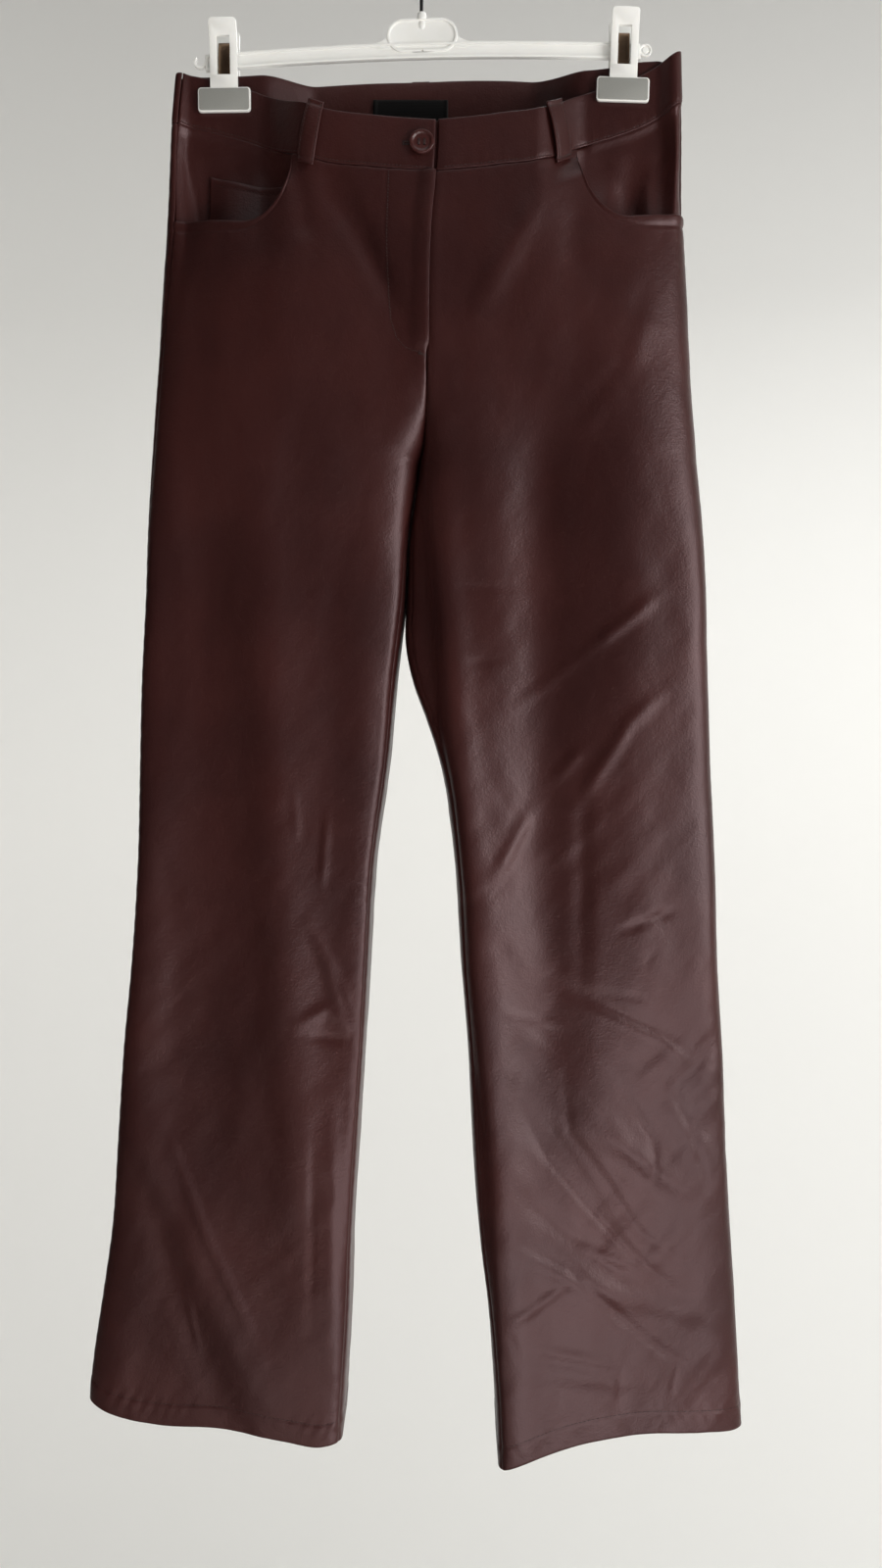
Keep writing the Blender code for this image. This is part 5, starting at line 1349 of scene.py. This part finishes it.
for hole_x in (-HOLE_APART, HOLE_APART):
    for shift in (-0.00045, 0, 0.00045):
        ends = (
            np.array(button_place @ Vector((hole_x + shift, hole_y, STRANDS_Z)))
            for hole_y in (-HOLE_APART - 0.0003, HOLE_APART + 0.0003)
        )
        button_strands.append((*ends, button_up))
sew("button_strands", button_strands, 0.0007)
# The buttonhole: close stitches round a slit, which runs out past the button on the fly's side.
SLIT_HALF, SLIT_SHIFT = 0.0105, -0.003
slit_place = facing("front", BUTTON_WAY, BUTTON_Z, BAND_PROUD)
slit_up = np.array(slit_place.to_3x3() @ Vector((0, 0, 1)))
worked = [
    ((x, up * 0.0003), (x, up * 0.0016)) for x in np.arange(-SLIT_HALF, SLIT_HALF, 0.00052) for up in (1, -1)
]
worked += [
    ((end * (SLIT_HALF - 0.0002), y), (end * (SLIT_HALF + 0.0012), y))
    for end in (-1, 1)
    for y in np.arange(-0.0016, 0.0017, 0.00045)
]
hole_stitches = [
    (*(np.array(slit_place @ Vector((x + SLIT_SHIFT, y, 0.0001))) for x, y in ends), slit_up)
    for ends in worked
]
sew("buttonhole_stitches", hole_stitches, 0.00055)


# ---- Hanger bar -----------------------------------------------------------------------------------------
# One white moulding: a flat bar with a raised lip above and below, an oval plate with a raised rim in its
# middle, a socket for the hook on top of that, and a curled end on each side.
HANGER_TILT = math.radians(1.5)  # the left end of the trousers hangs the higher
SOCKET_Z = -0.0722
BAR_HALF, BAR_Z, BAR_ARCH = 0.172, -0.0296, 0.0057
BAR_END, CURL_RADIUS = 0.1685, 0.005
BAR_HEIGHT, BAR_DEPTH, BAR_LIP, BAR_SUNK = 0.0122, 0.0046, 0.0022, 0.0011
PLATE_Z, PLATE_HALF, PLATE_HEIGHT, PLATE_RIM = -0.0178, 0.0275, 0.026, 0.0022
SOCKET_RADIUS, SOCKET_LENGTH = 0.0032, 0.0062
WEB_X, WEB_REACH, WEB_TOP, WEB_DROP, WEB_THICK = 0.0255, 0.015, 0.004, 0.01, 0.0034
GATE_RADIUS, GATE_LENGTH = 0.0007, 0.003
PIN_STEP, PIN_SUNK, PIN_RISE = 0.0013, 0.0012, 0.0009  # the ring round the left end's pin
CURL_HOLE, CURL_OUT, CURL_UP = 0.0033, 0.004, 0.001
FRONT_TO_BACK = (math.pi / 2, 0, 0)  # turns a round piece's axis to run from front to back
# White polypropylene, moulded: a warm white that lets a little light in, satin, with faint flow marks.
plastic = new_material(
    "moulded_polypropylene", "#eff0ed", 0.38, Subsurface_Weight=0.12,
    Subsurface_Radius=(0.004, 0.0035, 0.003), IOR=1.49,
)
place = add_node(plastic, "TexCoord", {}, "Object")
flow = add_node(plastic, "TexNoise", {"Vector": place, "Scale": 45.0, "Detail": 4.0})
flow_rough = add_node(plastic, "MapRange", {"Value": flow, "To Min": 0.3, "To Max": 0.46})
whites = {"Factor": flow, MIX_FROM: linear("#f1f2ef"), MIX_TO: linear("#e9eae5")}
yellowed = add_node(plastic, "Mix", whites, MIX_COLOUR, data_type="RGBA")
flow_bump = add_node(plastic, "Bump", {"Height": flow, "Strength": 0.12, "Distance": 0.0005})
shade(plastic, {"Roughness": flow_rough, "Base Color": yellowed, "Normal": flow_bump})


def on_hanger():
    """From the hanger's own frame, with its origin at the top of the socket, to the part's."""
    return Matrix.Translation((0, 0, SOCKET_Z)) @ Matrix.Rotation(-HANGER_TILT, 4, "Y")


def bar_height(x):
    return BAR_Z - BAR_ARCH * (x / BAR_HALF) ** 2


def sink(piece, steps):
    """Insets the front and back faces, and moves what is inside out or in, for each (inset, rise)."""
    select(piece, "FACE", lambda face: abs(face.normal.y) > 0.9)
    for inset, rise in steps:
        bpy.ops.mesh.inset(thickness=inset, use_individual=True)
        bpy.ops.mesh.extrude_region_shrink_fatten(TRANSFORM_OT_shrink_fatten={"value": rise})
    bpy.ops.object.mode_set(mode="OBJECT")


bar = add_solid(bpy.ops.mesh.primitive_cube_add, (2 * BAR_END, BAR_DEPTH, BAR_HEIGHT), size=1)
bar.name = "hanger_bar_moulding"
sink(bar, ((BAR_LIP, -BAR_SUNK),))
bpy.ops.object.mode_set(mode="EDIT")
for x in np.linspace(-BAR_END, BAR_END, 30)[1:-1]:
    bpy.ops.mesh.select_all(action="SELECT")
    bpy.ops.mesh.bisect(plane_co=(x, 0, 0), plane_no=(1, 0, 0))
bpy.ops.object.mode_set(mode="OBJECT")
for vertex in bar.data.vertices:
    vertex.co.z += bar_height(vertex.co.x)
bevelled(bar, 0.00045)

plate = add_solid(
    bpy.ops.mesh.primitive_cylinder_add, vertices=64, radius=PLATE_HEIGHT / 2, depth=BAR_DEPTH,
    rotation=FRONT_TO_BACK,
)
for vertex in plate.data.vertices:
    reach = math.copysign(PLATE_HALF - PLATE_HEIGHT / 2, vertex.co.x)
    vertex.co.x += reach * min(1, abs(vertex.co.x) / 0.0005)
    vertex.co.z += PLATE_Z
sink(plate, ((PLATE_RIM, -BAR_SUNK),))
bevelled(plate, 0.0005, 3)
cut(bar, plate, "UNION")

# the webs that flare from the plate's sides down to the bar
for end in (-1, 1):
    web = add_solid(
        bpy.ops.mesh.primitive_circle_add, vertices=18, radius=0.01, fill_type="NGON", rotation=FRONT_TO_BACK
    )
    outline = []
    for turn in np.linspace(0, math.pi / 2, 15):
        x = WEB_X + WEB_REACH * (1 - math.cos(turn))
        outline.append((x, PLATE_Z + WEB_TOP - WEB_DROP * math.sin(turn)))
    outline += [(0.04, PLATE_Z - 0.008), (0.032, PLATE_Z - 0.01), (0.025, PLATE_Z - 0.01)]
    for vertex, (x, z) in zip(web.data.vertices, outline):
        vertex.co = (end * x, WEB_THICK / 2, z)
    bpy.ops.object.mode_set(mode="EDIT")
    bpy.ops.mesh.select_all(action="SELECT")
    bpy.ops.mesh.extrude_region_move(TRANSFORM_OT_translate={"value": (0, -WEB_THICK, 0)})
    bpy.ops.mesh.select_all(action="SELECT")
    bpy.ops.mesh.normals_make_consistent(inside=False)
    bpy.ops.object.mode_set(mode="OBJECT")
    cut(bar, web, "UNION")

# the socket, the round boss below it and the gate mark on the bar
socket = add_solid(
    bpy.ops.mesh.primitive_cone_add, vertices=28, radius1=SOCKET_RADIUS * 1.3, radius2=SOCKET_RADIUS,
    depth=SOCKET_LENGTH, location=(0, 0, -SOCKET_LENGTH / 2),
)
cut(bar, bevelled(socket, 0.0006, 3), "UNION")
boss = add_solid(
    bpy.ops.mesh.primitive_uv_sphere_add, (1.0, 0.85, 1.5), segments=24, ring_count=12, radius=0.003,
    location=(0, 0, PLATE_Z + 0.0085),
)
cut(bar, boss, "UNION")
gate = add_solid(
    bpy.ops.mesh.primitive_cylinder_add, vertices=16, radius=GATE_RADIUS, depth=GATE_LENGTH,
    location=(0, -BAR_DEPTH / 2, BAR_Z - 0.0005), rotation=FRONT_TO_BACK,
)
cut(bar, gate)

# the ends: a ring round a pin on the left one, and an open curl on the right one
for end in (-1, 1):
    curl = add_solid(
        bpy.ops.mesh.primitive_cylinder_add, vertices=44, radius=CURL_RADIUS, depth=BAR_DEPTH * 0.86,
        rotation=FRONT_TO_BACK,
    )
    if end == 1:
        sink(curl, ((PIN_STEP, -PIN_SUNK), (PIN_STEP, PIN_RISE)))
    else:
        eye = add_solid(
            bpy.ops.mesh.primitive_cylinder_add, vertices=36, radius=CURL_HOLE, depth=0.02,
            rotation=FRONT_TO_BACK,
        )
        cut(curl, eye)
        slot = add_solid(
            bpy.ops.mesh.primitive_cube_add, (0.01, 0.02, 0.006), size=1, location=(0.0024, 0, 0.0034)
        )
        cut(curl, slot)
    bevelled(curl, 0.0004)
    curl.data.transform(Matrix.Translation((end * (BAR_END + CURL_OUT), 0, bar_height(BAR_END) + CURL_UP)))
    cut(bar, curl, "UNION")
finished(bar, on_hanger(), plastic)
stand_for(bar, "white_plastic", "hanger_bar")


# ---- Hook -----------------------------------------------------------------------------------------------
# One length of 2.9 mm steel wire. It is pressed into the socket, rises to the side and bends over the rail.
WIRE, HOOK_RADIUS = 0.0029, 0.02
BEND_FROM, BEND_TO = -42, 196  # degrees round the bend's centre, up from +X
# Bright-drawn steel wire: grey, with fine marks of the die along it.
steel_wire = new_material("drawn_steel_wire", "#6b6a6b", 0.32, Metallic=1.0)
place = add_node(steel_wire, "TexCoord", {}, "Object")
drawn = add_node(steel_wire, "TexNoise", {"Vector": place, "Scale": 500.0, "Detail": 4.0})
drawn_rough = add_node(steel_wire, "MapRange", {"Value": drawn, "To Min": 0.24, "To Max": 0.42})
shade(steel_wire, {"Roughness": drawn_rough})
centre = Vector((0, 0, -HOOK_RADIUS + WIRE / 2))
route = [Vector((0, 0, SOCKET_Z + SEAM_GAP)), Vector((0, 0, SOCKET_Z + 0.01)), Vector((0.001, 0, -0.054))]
for degrees in np.linspace(BEND_FROM, BEND_TO, 11):
    angle = math.radians(degrees)
    route.append(centre + HOOK_RADIUS * Vector((math.cos(angle), 0, math.sin(angle))))
wire_points = []
ends = [route[0], *route, route[-1]]
for before, start, end, after in zip(ends, ends[1:], ends[2:], ends[3:]):
    for t in np.linspace(0, 1, 6, endpoint=False):
        wire_points.append(cubic(start, end, (end - before) / 2, (after - start) / 2, t))
wire_points.append(route[-1])
hook_curve = bpy.data.curves.new("hook_wire", "CURVE")
hook_curve.dimensions = "3D"
hook_curve.bevel_depth, hook_curve.bevel_resolution, hook_curve.use_fill_caps = WIRE / 2, 4, True
spline = hook_curve.splines.new("POLY")
spline.points.add(len(wire_points) - 1)
for slot, point in zip(spline.points, wire_points):
    slot.co = (*point, 1)
hook = bpy.data.objects.new("hook_bent_wire", hook_curve)
bpy.context.scene.collection.objects.link(hook)
active(hook)
bpy.ops.object.convert(target="MESH")
hook = bpy.context.object
finished(bevelled(hook, 0.0004, 2, 60), Matrix(), steel_wire)
stand_for(hook, "hook_wire", "hook")


# ---- Clips ----------------------------------------------------------------------------------------------
# Each clip is two white levers that straddle the bar, with a wide foot that carries a grey rubber pad, and a
# leaf spring of tempered steel, bent over the bar, which shows in the levers' windows.
FOOT_WIDTH, FOOT_HEIGHT, FOOT_Z = 0.0405, 0.0188, -0.0315
JAW_WIDTH, JAW_TOP, PAD_RIM, PAD_SHOWS = 0.0212, 0.0287, 0.0016, 0.0011
FOOT_CORNER, JAW_CORNER, PAD_CORNER = 0.0026, 0.0028, 0.0016
CLIP_X = {RIGHT: -0.1536, LEFT: 0.1556}
CLIP_LEAN = {RIGHT: math.radians(-0.8), LEFT: math.radians(1.8)}  # both feet lean in
# Thermoplastic rubber, moulded: matt mid grey with a fine sandy texture.
rubber = new_material("grey_thermoplastic_rubber", "#8d8e89", 0.7)
place = add_node(rubber, "TexCoord", {}, "Object")
sand = add_node(rubber, "TexNoise", {"Vector": place, "Scale": 1600.0, "Detail": 2.0})
sand_bump = add_node(rubber, "Bump", {"Height": sand, "Strength": 0.35, "Distance": 0.0003})
greys = {"Factor": sand, MIX_FROM: linear("#858681"), MIX_TO: linear("#969792")}
sand_colour = add_node(rubber, "Mix", greys, MIX_COLOUR, data_type="RGBA")
shade(rubber, {"Normal": sand_bump, "Base Color": sand_colour})
# Tempered spring steel: straw to brown from the heat, with a dull sheen.
spring_steel = new_material("tempered_spring_steel", "#8f7660", 0.38, Metallic=1.0)
place = add_node(spring_steel, "TexCoord", {}, "Object")
heat = add_node(spring_steel, "TexNoise", {"Vector": place, "Scale": 160.0, "Detail": 3.0})
straws = {"Factor": heat, MIX_FROM: linear("#7a6250"), MIX_TO: linear("#a68d74")}
shade(spring_steel, {"Base Color": add_node(spring_steel, "Mix", straws, MIX_COLOUR, data_type="RGBA")})


def clip_place(side):
    """From a clip's own frame, with its origin at the middle of the bar, to the part's."""
    middle = on_hanger() @ Vector((CLIP_X[side], 0, bar_height(CLIP_X[side])))
    return Matrix.Translation(middle) @ Matrix.Rotation(CLIP_LEAN[side], 4, "Y")


def merged_copy(node, name, side):
    """A copy of a CAD node in the clip's own frame, its loose triangles merged to whole faces."""
    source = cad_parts[node]
    made = bpy.data.objects.new(name, source.data.copy())
    bpy.context.scene.collection.objects.link(made)
    made.data.transform(clip_place(side).inverted())
    active(made)
    bpy.ops.object.mode_set(mode="EDIT")
    bpy.ops.mesh.select_all(action="SELECT")
    bpy.ops.mesh.remove_doubles(threshold=0.00002)
    bpy.ops.mesh.dissolve_limited(angle_limit=math.radians(2))
    bpy.ops.mesh.normals_make_consistent(inside=False)
    bpy.ops.object.mode_set(mode="OBJECT")
    return made


def round_edges(piece, width, segments, test):
    """Bevels the edges whose two ends pass the test."""
    active(piece)
    points = piece.data.vertices
    select(piece, "EDGE", lambda edge: test(*(points[i].co for i in edge.vertices)))
    bpy.ops.mesh.bevel(offset=width, segments=segments, affect="EDGES")
    bpy.ops.object.mode_set(mode="OBJECT")


def corner_edge(half_width, low, high):
    """Tests for an edge that runs front to back at one of a plate's four corners."""

    def test(a, b):
        level = abs(a.z - b.z) < 0.001 and abs(a.x - b.x) < 0.0002
        at_side = abs(abs(a.x) - half_width) < 0.0003
        return level and at_side and abs(a.y - b.y) > 0.0004 and min(abs(a.z - low), abs(a.z - high)) < 0.0012

    return test


for side in (RIGHT, LEFT):
    name = SIDE_NAMES[side]
    for face in ("front", "back"):
        jaw = merged_copy(f"clip_{name}_jaw_{face}", f"clip_{name}_lever_{face}", side)
        foot_low, foot_high = FOOT_Z - FOOT_HEIGHT / 2, FOOT_Z + FOOT_HEIGHT / 2
        round_edges(jaw, FOOT_CORNER, 5, corner_edge(FOOT_WIDTH / 2, foot_low, foot_high))
        round_edges(jaw, JAW_CORNER, 5, corner_edge(JAW_WIDTH / 2, JAW_TOP, JAW_TOP))
        bevelled(jaw, 0.0004, 2, 30)
        finished(jaw, clip_place(side), plastic)
        stand_for(jaw, "white_plastic", f"clip_{name}_jaw_{face}")
        pad = merged_copy(f"clip_{name}_pad_{face}", f"clip_{name}_rubber_{face}", side)
        low, high = foot_low + PAD_RIM, foot_high - PAD_RIM
        round_edges(pad, PAD_CORNER, 5, corner_edge(FOOT_WIDTH / 2 - PAD_RIM, low, high))
        wider, higher = FOOT_WIDTH / 2 - PAD_SHOWS, FOOT_HEIGHT / 2 - PAD_SHOWS
        for vertex in pad.data.vertices:
            vertex.co.x *= wider / (FOOT_WIDTH / 2 - PAD_RIM)
            vertex.co.z = FOOT_Z + (vertex.co.z - FOOT_Z) * higher / (FOOT_HEIGHT / 2 - PAD_RIM)
        bevelled(pad, 0.00025, 2, 30)
        finished(pad, clip_place(side), rubber)
        stand_for(pad, "grey_rubber", f"clip_{name}_pad_{face}")
    spring = merged_copy(f"clip_{name}_spring", f"clip_{name}_leaf_spring", side)
    bevelled(spring, 0.00015, 2, 50)
    finished(spring, clip_place(side), spring_steel)
    stand_for(spring, "spring_steel", f"clip_{name}_spring")
